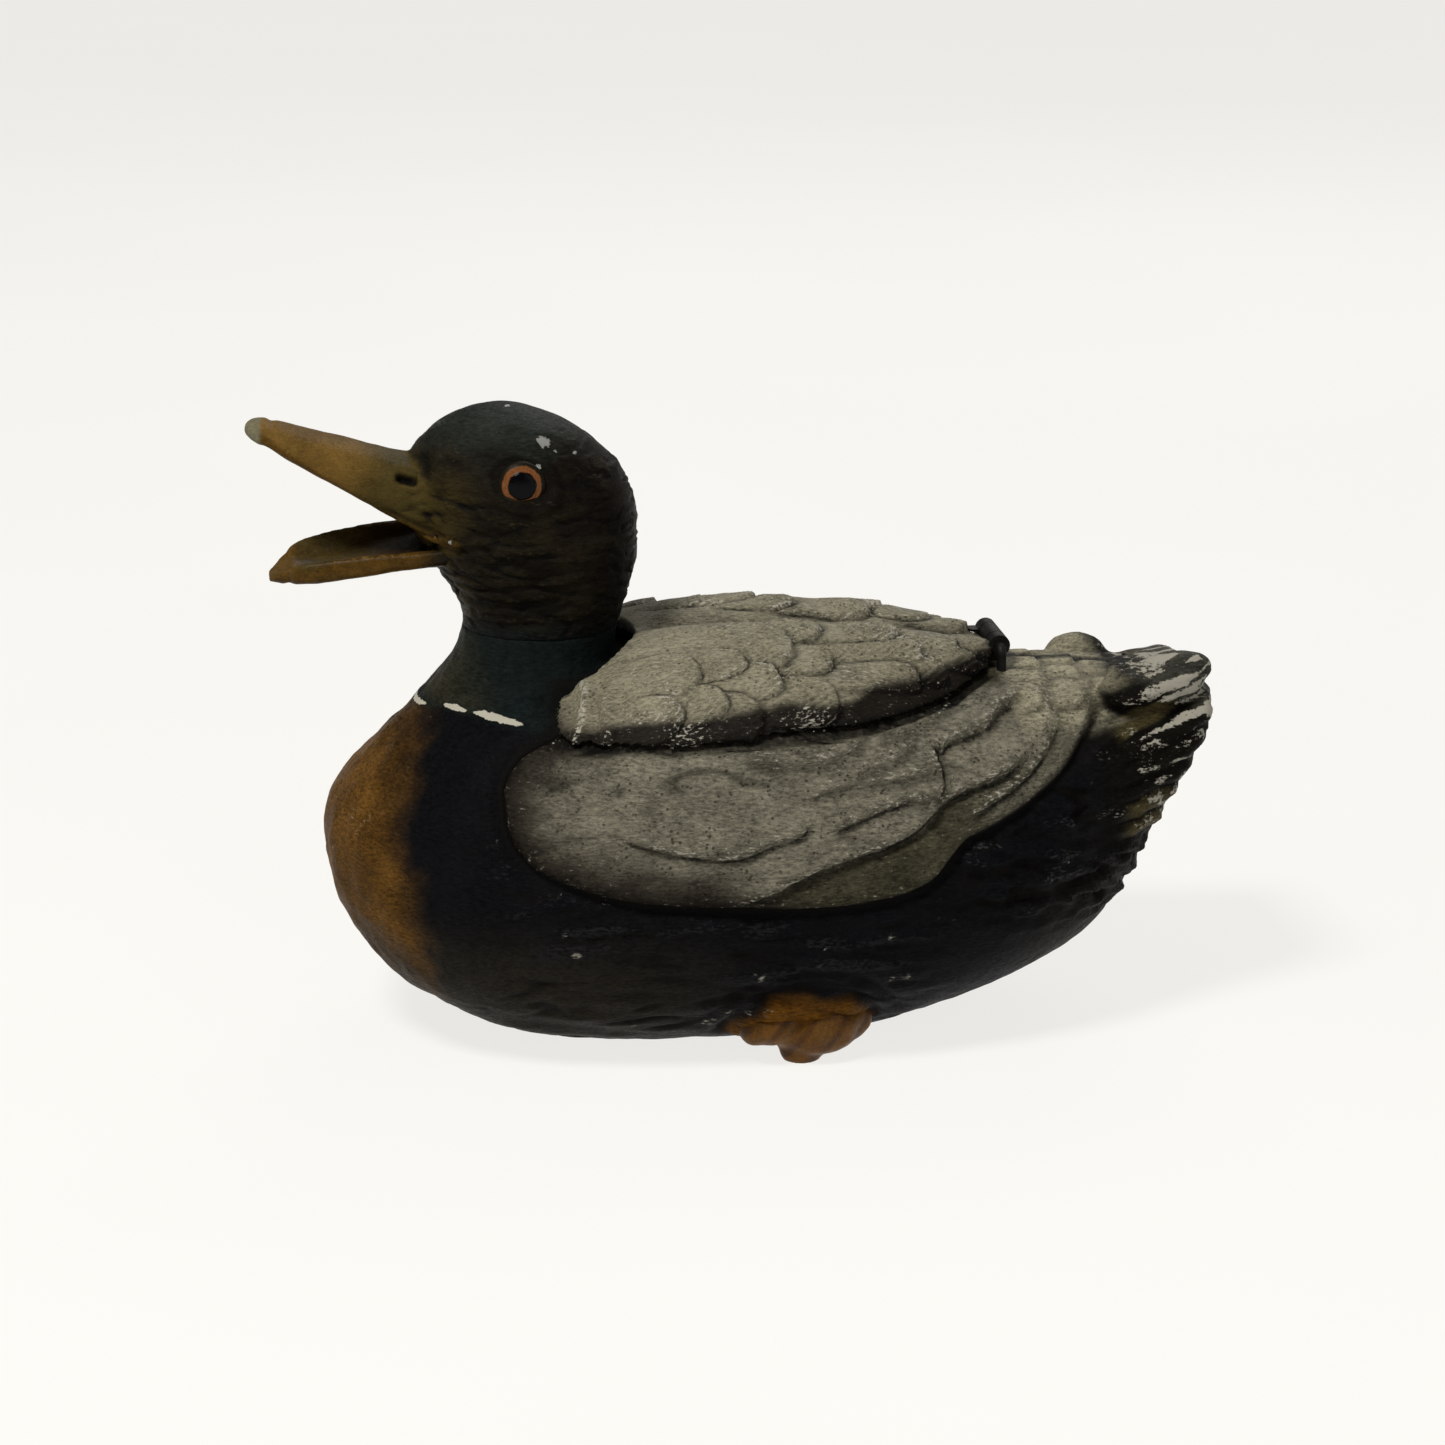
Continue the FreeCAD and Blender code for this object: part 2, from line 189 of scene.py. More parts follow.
def loft(rings):
    """Vertices and faces of a closed form through rings of points, closed by a fan at each end."""
    rings = np.array(rings)
    count, around = rings.shape[:2]
    verts = np.concatenate([rings.reshape(-1, 3), [rings[0].mean(0), rings[-1].mean(0)]])
    faces = []
    for i in range(count - 1):
        for j in range(around):
            k = (j + 1) % around
            faces.append((i * around + j, i * around + k, (i + 1) * around + k, (i + 1) * around + j))
    for j in range(around):
        k = (j + 1) % around
        faces.append((count * around, k, j))
        faces.append((count * around + 1, (count - 1) * around + j, (count - 1) * around + k))
    return verts, faces


def upright_ring(x, low, high, width, wide, square_top, square_low):
    upper = np.sin(ROUND) >= 0
    square = np.where(upper, square_top, square_low)
    rise = np.where(upper, high - wide, wide - low)
    y = width * squared(np.cos(ROUND), square)
    z = wide + rise * squared(np.sin(ROUND), square)
    return np.stack([np.full_like(y, x), y, z], 1)


def body_form(grow=0.0):
    rows = [(x, low - grow, high + grow, width + grow, wide, square)
            for x, low, high, width, wide, square in BODY_SECTIONS]
    return loft([upright_ring(*row, LOWER_SQUARENESS) for row in eased(rows, 5)])


def lid_form(shrink=0.0, rim=0.0, first=0, last=None):
    rows = [(x, LID_LOW_Z, high - shrink, width - rim, LID_WIDE_Z, LID_SQUARENESS)
            for x, width, high in LID_SECTIONS[first:last]]
    return loft([upright_ring(*row, 2.0) for row in eased(rows, 6)])


def head_form(low, high):
    """The neck and head between two heights."""
    rings = []
    for z, front, back, width in eased(HEAD_SLICES, 4):
        if low <= z <= high:
            x = (front + back) / 2 + (back - front) / 2 * np.cos(ROUND)
            rings.append(np.stack([x, width * np.sin(ROUND), np.full_like(x, z)], 1))
    return loft(rings)


def ellipsoid(centre, radii, tilt=0.0, turn=0.0):
    """A ball stretched to the radii, its +X end raised by tilt and turned to +Y by turn, in degrees."""
    rings = []
    for level in np.linspace(-0.99, 0.99, 40) * math.pi / 2:
        reach = math.cos(level)
        rings.append(np.stack([np.full_like(ROUND, math.sin(level)), reach * np.cos(ROUND),
                               reach * np.sin(ROUND)], 1) * np.array(radii))
    verts, faces = loft(rings)
    a, b = math.radians(tilt), math.radians(turn)
    lift = np.array([[math.cos(a), 0, -math.sin(a)], [0, 1, 0], [math.sin(a), 0, math.cos(a)]])
    swing = np.array([[math.cos(b), -math.sin(b), 0], [math.sin(b), math.cos(b), 0], [0, 0, 1]])
    return verts @ (swing @ lift).T + np.array(centre), faces


def column(ellipse, z_from, z_to):
    """An upright elliptical column: the ellipse is its x, its radius along X and its radius along Y."""
    x, along, across = ellipse
    rings = [np.stack([x + along * np.cos(ROUND), across * np.sin(ROUND), np.full_like(ROUND, z)], 1)
             for z in np.linspace(z_from, z_to, 12)]
    return loft(rings)


def bar(line, rows, section):
    """A form along a line in the middle plane. section(row) gives its across and up values."""
    (x0, z0), (x1, z1) = line
    way = np.array([x1 - x0, 0, z1 - z0]) / math.hypot(x1 - x0, z1 - z0)
    up = np.array([way[2], 0, -way[0]])
    rings = []
    for row in eased(rows, 6):
        across, rise = section(row)
        centre = np.array([x0, 0, z0]) + way * row[0]
        rings.append(centre + across[:, None] * np.array([0, 1, 0]) + rise[:, None] * up)
    return loft(rings)


# ---------------------------------------------------------------- meshes
def make_mesh(name, forms):
    """One mesh object that holds several closed forms."""
    verts, faces, first = [], [], 0
    for form_verts, form_faces in forms:
        verts.append(form_verts)
        faces += [tuple(first + i for i in face) for face in form_faces]
        first += len(form_verts)
    mesh = bpy.data.meshes.new(name)
    mesh.from_pydata((np.concatenate(verts) * MM).tolist(), [], faces)
    mesh.update()
    obj = bpy.data.objects.new(name, mesh)
    bpy.context.scene.collection.objects.link(obj)
    return obj


def apply_modifiers(obj):
    bpy.context.view_layer.update()
    evaluated = obj.evaluated_get(bpy.context.evaluated_depsgraph_get())
    mesh = bpy.data.meshes.new_from_object(evaluated)
    mesh.name = obj.name
    obj.modifiers.clear()
    obj.data = mesh
    return obj


def cut(obj, form):
    """Takes a closed form away from obj."""
    tool = make_mesh("tool", [form])
    modifier = obj.modifiers.new("cut", "BOOLEAN")
    modifier.operation = "DIFFERENCE"
    modifier.solver = "MANIFOLD"
    modifier.object = tool
    apply_modifiers(obj)
    bpy.data.objects.remove(tool)
    return obj


def reskin(obj, voxel, ease):
    """One even watertight skin over everything in obj, eased so that joins blend."""
    skin = obj.modifiers.new("skin", "REMESH")
    skin.mode = "VOXEL"
    skin.voxel_size = voxel * MM
    smooth = obj.modifiers.new("ease", "SMOOTH")
    smooth.factor = 0.5
    smooth.iterations = ease
    return apply_modifiers(obj)


def vertex_values(obj, name):
    found = np.zeros(len(obj.data.vertices) * 3)
    obj.data.vertices.foreach_get(name, found)
    return found.reshape(-1, 3)


def give(obj, name, values):
    """Stores one number for each vertex, for the materials to read."""
    found = obj.data.attributes.new(name, "FLOAT", "POINT")
    found.data.foreach_set("value", np.asarray(values, np.float32))


def give_colour(obj, name, colours):
    found = obj.data.attributes.new(name, "FLOAT_COLOR", "POINT")
    whole = np.concatenate([colours, np.ones((len(colours), 1))], 1)
    found.data.foreach_set("color", whole.astype(np.float32).ravel())


FAR = 9.0


def nearer(first, second):
    """Of two signed distances, the one nearer to nothing."""
    return np.where(np.abs(first) < np.abs(second), first, second)


class Skin:
    """A piece's points before its relief, with all that is worked out for each point.

    even holds the points with the far side folded onto the near one, and flat its x and z. relief is
    in millimetres, dark is a share of painted shade in hollows, grooves and gaps, bright a share of
    painted highlight on raised edges, and crease is the signed distance to a feather's edge."""

    def __init__(self, obj):
        self.obj = obj
        self.points = vertex_values(obj, "co") / MM
        self.normals = vertex_values(obj, "normal")
        self.x, self.y, self.z = self.points.T
        self.across = np.abs(self.y)
        self.even = np.stack([self.x, self.across, self.z], 1)
        self.flat = self.even[:, [0, 2]]
        self.relief, self.dark, self.bright = np.zeros((3, len(self.points)))
        self.crease = np.full(len(self.points), FAR)

    def noise(self, size, shift):
        return noise(self.even, size, shift)

    # Adds painted shade, where shade falls in hollows, grooves and gaps.
    def add_painted_shade(self, share):
        self.dark = np.maximum(self.dark, share)

    # Adds painted highlight, where light catches raised edges.
    def add_painted_highlight(self, share):
        self.bright = np.maximum(self.bright, share)

    def move(self, roll=0.0):
        """Pushes the points out by the relief, no lower than the floor, and lifts them by roll times y."""
        moved = self.points + self.normals * self.relief[:, None]
        moved[:, 2] = np.maximum(moved[:, 2] + roll * self.y, 0)
        self.obj.data.vertices.foreach_set("co", (moved * MM).astype(np.float32).ravel())
        self.obj.data.update()

    def prime(self, name, strength=1.0):
        self.paint = np.tile(PAINTS[name] * strength, (len(self.points), 1))

    def lay(self, colour, share):
        self.paint = mix(self.paint, colour, share)

    def coat(self, name, share, strength=1.0):
        """Brushes a paint over what is there."""
        self.lay(PAINTS[name] * strength, share)

    # Besides real wear, the rubbed share and its colour carry painted highlight, and the share after them is
    # painted shade.
    def keep(self, wear_and_highlight_colour, wear_and_highlight, painted_shade, speckle=0.0, chip=0.0, calm=0.0):
        """Stores on the mesh everything that cold_paint reads."""
        give_colour(self.obj, "paint", self.paint)
        give_colour(self.obj, "wear_and_highlight_colour", np.broadcast_to(wear_and_highlight_colour, self.paint.shape))
        numbers = {"wear_and_highlight": wear_and_highlight, "painted_shade": painted_shade, "speckle": speckle, "chip": chip, "crease": self.crease,
                   "calm": calm}
        for name, values in numbers.items():
            give(self.obj, name, np.broadcast_to(values, len(self.points)))


def finish_piece(obj, body, slot, material, node):
    obj.data.polygons.foreach_set("use_smooth", [True] * len(obj.data.polygons))
    obj.data.materials.clear()
    obj.data.materials.append(material)
    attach(obj, body)
    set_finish(obj, slot)
    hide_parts(node)


# ---------------------------------------------------------------- colours of the paints
BRIGHT = 0.98
PAINTS = {
    "navy": (0.0032, 0.0034, 0.0042), "teal": (0.0052, 0.0080, 0.0076), "breast": (0.085, 0.040, 0.0075),
    "belly": (0.0155, 0.013, 0.0088), "flank": (0.118, 0.108, 0.080), "flank_low": (0.058, 0.052, 0.032),
    "lid": (0.200, 0.182, 0.126), "brown": (0.0085, 0.0068, 0.005), "tail": (0.005, 0.0043, 0.003),
    "gold": (0.055, 0.044, 0.018), "foot": (0.105, 0.043, 0.005), "bill": (0.125, 0.070, 0.016),
    "bill_base": (0.052, 0.037, 0.010), "bill_edge": (0.072, 0.036, 0.005), "nail": (0.145, 0.132, 0.080),
    "crown": (0.015, 0.018, 0.0145), "cheek": (0.0092, 0.0072, 0.0036), "nape": (0.0062, 0.0045, 0.003),
    "lobe": (0.075, 0.074, 0.058), "white": (0.33, 0.31, 0.255), "mouth": (0.024, 0.010, 0.0015),
    "neck_front_highlight": (0.028, 0.025, 0.014),
}
PAINTS = {name: np.array(colour) * BRIGHT for name, colour in PAINTS.items()}


# ---------------------------------------------------------------- materials
class Nodes:
    """A short way to write a material's nodes."""

    def __init__(self, name):
        self.material = bpy.data.materials.new(name)
        self.material.use_nodes = True
        self.tree = self.material.node_tree
        self.tree.nodes.clear()
        self.shader = self.tree.nodes.new("ShaderNodeBsdfPrincipled")
        output = self.tree.nodes.new("ShaderNodeOutputMaterial")
        self.link(self.shader.outputs["BSDF"], output.inputs["Surface"])
        self.place = self.tree.nodes.new("ShaderNodeTexCoord").outputs["Object"]

    def link(self, source, target):
        self.tree.links.new(source, target)

    def put(self, target, value):
        if isinstance(value, bpy.types.NodeSocket):
            self.link(value, target)
        elif value is not None:
            target.default_value = (*value, 1) if isinstance(value, tuple) else value

    def read(self, name, colour=False):
        node = self.tree.nodes.new("ShaderNodeAttribute")
        node.attribute_name = name
        return node.outputs["Color" if colour else "Fac"]

    def stretch(self, scale, turn):
        node = self.tree.nodes.new("ShaderNodeMapping")
        self.link(self.place, node.inputs["Vector"])
        node.inputs["Scale"].default_value = scale
        node.inputs["Rotation"].default_value = turn
        return node.outputs["Vector"]

    def noise(self, size, detail=3, rough=0.55, warp=0, vector=None):
        """Noise from 0 to 1 with lumps about size millimetres across."""
        node = self.tree.nodes.new("ShaderNodeTexNoise")
        self.link(vector or self.place, node.inputs["Vector"])
        node.inputs["Scale"].default_value = 1 / (size * MM)
        node.inputs["Detail"].default_value = detail
        node.inputs["Roughness"].default_value = rough
        node.inputs["Distortion"].default_value = warp
        return node.outputs["Fac"]

    def cells(self, size):
        """Distance to the nearest of many scattered points, about size millimetres apart."""
        node = self.tree.nodes.new("ShaderNodeTexVoronoi")
        self.link(self.place, node.inputs["Vector"])
        node.inputs["Scale"].default_value = 1 / (size * MM)
        return node.outputs["Distance"]

    def math(self, operation, first, second=None, clamp=False):
        node = self.tree.nodes.new("ShaderNodeMath")
        node.operation = operation
        node.use_clamp = clamp
        self.put(node.inputs[0], first)
        self.put(node.inputs[1], second)
        return node.outputs[0]

    def add(self, first, second):
        return self.math("ADD", first, second)

    def minus(self, first, second):
        return self.math("SUBTRACT", first, second)

    def times(self, first, second, clamp=False):
        return self.math("MULTIPLY", first, second, clamp)

    def range(self, value, low, high, to_low=0.0, to_high=1.0):
        node = self.tree.nodes.new("ShaderNodeMapRange")
        node.interpolation_type = "SMOOTHSTEP"
        for name, number in (("From Min", low), ("From Max", high), ("To Min", to_low), ("To Max", to_high)):
            node.inputs[name].default_value = number
        self.put(node.inputs["Value"], value)
        return node.outputs["Result"]

    def mix(self, share, first, second, blend="MIX"):
        node = self.tree.nodes.new("ShaderNodeMix")
        node.data_type = "RGBA"
        node.blend_type = blend
        self.put(node.inputs["Factor"], share)
        self.put(node.inputs[6], first)
        self.put(node.inputs[7], second)
        return node.outputs[2]

    def bump(self, height, depth):
        """Bumps up to depth millimetres high."""
        node = self.tree.nodes.new("ShaderNodeBump")
        node.inputs["Strength"].default_value = 1.0
        node.inputs["Distance"].default_value = depth * MM
        self.link(height, node.inputs["Height"])
        return node.outputs["Normal"]

    def done(self, colour, roughness, normal=None, metallic=None, specular=0.25):
        self.put(self.shader.inputs["Base Color"], colour)
        self.put(self.shader.inputs["Roughness"], roughness)
        self.put(self.shader.inputs["Metallic"], metallic)
        self.shader.inputs["Specular IOR Level"].default_value = specular
        if normal is not None:
            self.link(normal, self.shader.inputs["Normal"])
        return self.material


PALE_METAL = (0.27, 0.27, 0.25)
# Near-black of the painted shade in hollows and of the painted shadow lines beyond feather edges.
PAINTED_SHADE_COLOUR = (0.004, 0.0035, 0.003)


def ring_dashes(n):
    """Where the white dashes round the neck are painted, from 0 to 1."""
    height = n.add(n.read("ring"), n.range(n.noise(1.2, 3), 0.3, 0.7, -0.12, 0.12))
    turn = n.read("neck_turn")
    total = 0.0
    for middle, half_length, half_thick in RING_DASHES:
        up = n.math("POWER", n.math("ABSOLUTE", n.math("DIVIDE", height, half_thick)), 2.0)
        apart = n.math("ABSOLUTE", n.math("DIVIDE", n.minus(turn, middle), half_length))
        inside = n.range(n.add(up, n.math("POWER", apart, 3.0)), 0.85, 1.1, 1, 0)
        total = n.math("MAXIMUM", inside, total)
    return total


def cold_paint(name, gloss, specular, grain, grain_turn=(0, 0, 0), relief=0.32, ring=False):
    """Hand-brushed oil paint on cast metal: it reads the colours and masks stored on the mesh."""
    n = Nodes(name)
    paint = n.read("paint", True)
    brushed = n.noise(1.3, 4, 0.62, 0.3, n.stretch(grain, grain_turn))
    blotch = n.noise(9, 4, 0.6, 0.5)
    fine = n.noise(0.7, 4, 0.65)
    scratch = n.noise(0.45, 3, 0.7, 0.2, n.stretch(grain, grain_turn))
    brushed = n.minus(brushed, n.times(n.read("calm"), n.minus(brushed, 0.5)))
    tone = n.add(n.range(blotch, 0.25, 0.75, -0.2, 0.2), n.range(brushed, 0.28, 0.72, 0.55, 1.4))
    tone = n.add(tone, n.range(scratch, 0.3, 0.7, -0.25, 0.25))
    colour = n.mix(1.0, paint, n.mix(1.0, (1, 1, 1), tone, "MULTIPLY"), "MULTIPLY")
    freckles = n.times(n.range(n.cells(1.15), 0.16, 0.30, 1, 0), n.range(n.noise(4), 0.42, 0.6))
    freckles = n.times(freckles, n.read("speckle"), True)
    colour = n.mix(n.times(freckles, 0.75), colour, (0.022, 0.02, 0.013))
    # Painted shade: hollows, grooves, gaps and the body just under the lid's rim darken towards near-black.
    painted_shade = n.times(n.read("painted_shade"), n.range(n.noise(1.6, 3), 0.2, 0.6, 0.75, 1.0), True)
    colour = n.mix(painted_shade, colour, PAINTED_SHADE_COLOUR)
    # A thin line of painted shadow just beyond each raised feather edge, and a faint painted highlight on the
    # edge's raised side.
    crease = n.add(n.read("crease"), n.range(fine, 0.25, 0.75, -0.2, 0.2))
    edge_shadow = n.range(n.math("ABSOLUTE", n.add(crease, 0.4)), 0.1, 0.45, 1, 0)
    colour = n.mix(n.times(edge_shadow, n.range(n.noise(5, 3), 0.38, 0.6, 0.1, 0.8)), colour, PAINTED_SHADE_COLOUR)
    edge_highlight = n.range(n.math("ABSOLUTE", n.minus(crease, 0.4)), 0.1, 0.55, 0.12, 0)
    wear_and_highlight_share = n.add(n.add(edge_highlight, n.read("wear_and_highlight")), n.range(brushed, 0.2, 0.8, -0.42, 0.42))
    wear_and_highlight_share = n.range(n.add(wear_and_highlight_share, n.range(fine, 0.3, 0.7, -0.2, 0.2)), 0.42, 0.72)
    # Rubbed paint and painted highlights on raised edges both lighten towards the colour stored for them.
    colour = n.mix(wear_and_highlight_share, colour, n.read("wear_and_highlight_colour", True))
    if ring:
        colour = n.mix(ring_dashes(n), colour, tuple(PAINTS["white"] * 1.25))
    chips = n.times(n.range(n.cells(19), 0.011, 0.02, 1, 0), n.range(fine, 0.3, 0.45), True)
    chips = n.math("MAXIMUM", chips, n.range(n.add(n.read("chip"), n.range(fine, 0.3, 0.7, -0.3, 0.3)),
                                              0.45, 0.6))
    colour = n.mix(chips, colour, PALE_METAL)
    roughness = n.add(gloss, n.range(fine, 0.25, 0.75, -0.08, 0.14))
    height = n.add(n.times(fine, 0.4), n.times(brushed, 0.6))
    height = n.add(height, n.times(scratch, 0.3))
    height = n.minus(height, n.times(freckles, 0.6))
    height = n.minus(height, n.times(chips, 0.8))
    return n.done(colour, roughness, n.bump(height, relief), n.times(chips, 0.5), specular)


def plain_metal(name, dark, light, gloss, relief=0.08, tarnish=(0.02, 0.015, 0.01), size=1.2,
                shine=(0.95, 0.55), specular=0.4):
    """Bare or darkened metal with cast grain, tarnish in patches and rubbed edges."""
    n = Nodes(name)
    patch = n.noise(size * 4, 5, 0.65, 0.4)
    fine = n.noise(size * 0.3, 4, 0.6)
    colour = n.mix(n.range(patch, 0.35, 0.65), dark, light)
    colour = n.mix(n.range(n.add(patch, n.range(fine, 0.3, 0.7, -0.15, 0.15)), 0.62, 0.8), colour, tarnish)
    roughness = n.add(gloss, n.range(fine, 0.25, 0.75, -0.1, 0.18))
    pits = n.range(n.cells(size), 0.05, 0.2)
    height = n.add(n.times(fine, 0.7), n.times(pits, 0.3))
    return n.done(colour, roughness, n.bump(height, relief), n.range(patch, 0.5, 0.85, *shine), specular)


def pot_glass():
    """Thick pale pressed glass with faint ripples and dried ink low on its wall."""
    n = Nodes("pot_glass")
    ripple = n.noise(5, 2, 0.5)
    stain = n.range(n.noise(3, 4, 0.6, 0.6), 0.52, 0.66)
    colour = n.mix(n.times(stain, 0.3), (0.50, 0.60, 0.56), (0.05, 0.06, 0.1))
    roughness = n.range(n.noise(0.8, 3), 0.3, 0.7, 0.06, 0.2)
    n.shader.inputs["Transmission Weight"].default_value = 0.55
    n.shader.inputs["IOR"].default_value = 1.5
    return n.done(colour, roughness, n.bump(ripple, 0.2), None, 0.5)


# ---------------------------------------------------------------- feather relief
def raised_edge(flat, curve, lift, reach, groove):
    """A feather edge high on the curve's left, with a groove on its right.

    Gives the relief, the shares of painted shade in the groove and of painted highlight on the edge, and the
    distance that is kept as crease."""
    apart, along = curve_field(flat, curve)
    ends = ramp(along, 0, 0.12) * ramp(1 - along, 0, 0.12)
    step = ramp(apart, -0.35, 0.45) * np.exp(-np.maximum(apart, 0) / reach)
    hollow = hill(apart + 0.7, 0.9)
    crease = apart + np.where(apart < 0, -2.5, 2.5) * (1 - ends)
    return ends * (lift * step - groove * hollow), ends * hollow, ends * hill(apart - 0.7, 0.9), crease


def feather_tiles(flat, feathers, lift):
    """Feathers laid like roof tiles, each a tip, a half width, a length and a direction in degrees.

    Gives the relief, the painted shade in the gap beyond each edge, the painted highlight on each edge,
    the barb lines' phase in millimetres, the number of the feather on top, and the distance that is kept
    as crease."""
    top = np.zeros(len(flat))
    edge = np.zeros(len(flat))
    barb = flat[:, 0] * 0.4 + flat[:, 1]
    which = np.full(len(flat), -1)
    shapes = []
    for number, (tip_x, tip_v, half, length, turn) in enumerate(feathers):
        c, s = math.cos(math.radians(turn)), math.sin(math.radians(turn))
        along = (flat[:, 0] - tip_x) * c + (flat[:, 1] - tip_v) * s
        across = -(flat[:, 0] - tip_x) * s + (flat[:, 1] - tip_v) * c
        wobble = 0.35 * noise(np.stack([flat[:, 0], flat[:, 1], flat[:, 0] * 0 + number * 9], 1), 2.2)
        rounding = half * 1.05
        ahead = np.maximum(along + rounding, 0) / rounding
        inside = half * (1 - (ahead ** 2.3 + (np.abs(across) / half) ** 2.3) ** (1 / 2.3)) + wobble
        rise = np.clip(1 + along / length, 0, 1)
        crown = 1 - 0.3 * np.minimum(np.abs(across) / half, 1) ** 2
        height = lift * rise * crown * ramp(inside, -0.25, 0.55)
        wins = height > top
        top = np.where(wins, height, top)
        edge = np.where(wins, hill(inside - 0.5, 0.9) * rise, edge)
        barb = np.where(wins, along * 0.62 + np.abs(across) * 0.78, barb)
        which = np.where(wins, number, which)
        shapes.append((inside, lift * rise))
    dark = np.zeros(len(flat))
    crease = np.full(len(flat), FAR)
    for inside, height in shapes:
        above = ramp(height - top, -0.1 * lift, 0.3 * lift)
        dark = np.maximum(dark, hill(inside + 0.55, 0.75) * above)
        crease = nearer(inside + np.where(inside < 0, -2.5, 2.5) * (1 - above), crease)
    return top, dark, edge, barb, which, crease


# ---------------------------------------------------------------- the body
FLANK_OUTLINE = (
    (-34, 67.5), (-38.9, 64.8), (-44.3, 61.8), (-47.4, 57.6), (-47.7, 53.6), (-46.7, 48.6), (-43.6, 44.3),
    (-38.2, 41.3), (-30.9, 38.7), (-21.6, 36.9), (-12.3, 36.2), (-2, 35.7), (6.6, 35.2), (14.3, 35.2),
    (22, 36), (27.9, 37.1), (32.8, 39.4), (36.2, 43.2), (39.5, 46.2), (43, 47.5), (50.4, 50.4),
    (56, 53.3), (60.6, 56.4), (64.5, 60), (67.6, 63.4), (70, 67.8), (70.5, 71),
)
# each feather edge on the flank, its lift, how far the lift reaches back, and its groove
FLANK_EDGES = (
    (((-8, 36.4), (-4.8, 37), (2.8, 39.5), (9.5, 42.7), (16.2, 44.7), (23, 46.3), (29, 48.7), (34.3, 52.6),
      (38.5, 54.1), (44.8, 55.1), (50.3, 57), (56, 60)), 2.1, 6, 0.8),
    (((-27, 49.5), (-23.3, 48.3), (-12.2, 46), (-4.7, 45.8), (1, 47.8), (6.7, 49.4), (8.7, 51.6)),
     1.2, 4, 0.5),
    (((12, 49.5), (16.4, 50.8), (22.3, 52.5), (29.3, 53.4), (32.3, 52.6)), 1.2, 3.5, 0.5),
    (((34, 59), (35.6, 60.9), (41.1, 62.1), (45.4, 62.7), (48.1, 64.5), (52.3, 65.8), (54.5, 66.9)),
     1.6, 4.5, 0.7),
    (((8, 55), (10.9, 56.2), (17.8, 56.9), (26.7, 57), (34.9, 57.4)), 1.0, 3, 0.4),
    (((32.3, 52.6), (34.2, 55.1), (34.2, 58), (32.6, 61.5)), 1.4, 4.5, 0.5),
    (((17, 58), (19, 58.7), (24.1, 59.6), (28.4, 61.2), (30.3, 63.2)), 0.6, 3, 0.3),
    (((38, 48.5), (44, 51.5), (50, 54), (55, 57.2), (59, 61), (62, 65)), 1.2, 4, 0.5),
    (((56, 60.5), (58.5, 63), (59.5, 66), (59.5, 68.5)), 1.0, 4, 0.4),
    (((-4, 62.5), (4, 60.8), (12, 61), (18, 62.4), (22, 64.5)), 0.9, 4, 0.35),
    (((22, 63.5), (30, 64), (38, 66), (43, 69)), 0.9, 4, 0.35),
)
# edges with at least this lift also get a thin line of painted shadow beyond them and of painted highlight on
# them
CRISP_LIFT = 1.2
# height, and the x of the breast patch's soft edge there
BREAST_EDGE = ((12, -59), (18, -62), (27.6, -63.4), (35.5, -66.4), (42.7, -67.6), (49.4, -67), (55.7, -65.4),
               (61.2, -64.5), (66, -62), (70, -60), (76, -58))
RUMP_TILES = (
    (84, 0, 6, 22, 0), (82, 9.5, 5, 20, -6), (76, 4.5, 4, 14, 0), (75, 13, 4.6, 14, -8), (69, 0, 4.2, 12, 0),
    (68.5, 8, 4, 11, -5), (67, 15.5, 4.4, 12, -12), (61.5, 3.8, 3.8, 9, 0), (61, 11.3, 3.9, 9, -6),
    (58, 18, 4.2, 9, -14),
)
TAIL_TILT = math.radians(15)
# x and z of the middle of the thigh above the foot
FOOT_PLACE = (9, 2)
NECK_MIDDLE_X = -36
# turn round the neck in radians, and height of the painted ring there
RING_LEVEL = ((0, 65.8), (0.245, 66.4), (0.49, 67.7), (0.76, 67.6), (0.9, 67.6), (1.3, 66.8), (1.7, 66.0),
              (3.2, 66.0))
# each dash of the ring: its middle and half its length in radians, and half its thickness in millimetres
RING_DASHES = ((0.0, 0.25, 0.5), (0.62, 0.135, 0.42), (1.06, 0.235, 0.5))
BODY_GRAIN = 0.8
# middle, tilt and outward turn of the feather ends on the near side
SIDE_BLADES = ((77.6, 20.2, 47.5, 14, 6), (79.2, 19.8, 52.5, 17, 5), (80.8, 18.6, 57.5, 19, 4),
               (82.6, 16.8, 62, 20, 3))
# Lighter colours for rubbed paint and painted highlight on the navy, and on the strokes at the rear.
NAVY_WEAR_AND_HIGHLIGHT = np.array((0.0105, 0.0105, 0.012))
REAR_WEAR_AND_HIGHLIGHT = np.array((0.026, 0.026, 0.026))


def tail_fan(points):
    """Which feather of the tail's fan a point is on, counted from below, with wavy sides."""
    wobble = 0.22 * noise(points, 9, 3.1) + 0.1 * noise(points, 3, 8.7)
    side = np.degrees(np.arctan2(points[:, 2] - 36, points[:, 0] - 12)) / 3.4
    return side + wobble


def neck_band(points):
    """Height above the ring painted round the foot of the neck, and the turn round the neck in radians."""
    turn = np.abs(np.arctan2(points[:, 1], NECK_MIDDLE_X - points[:, 0]))
    return points[:, 2] - np.interp(turn, *zip(*RING_LEVEL)), turn


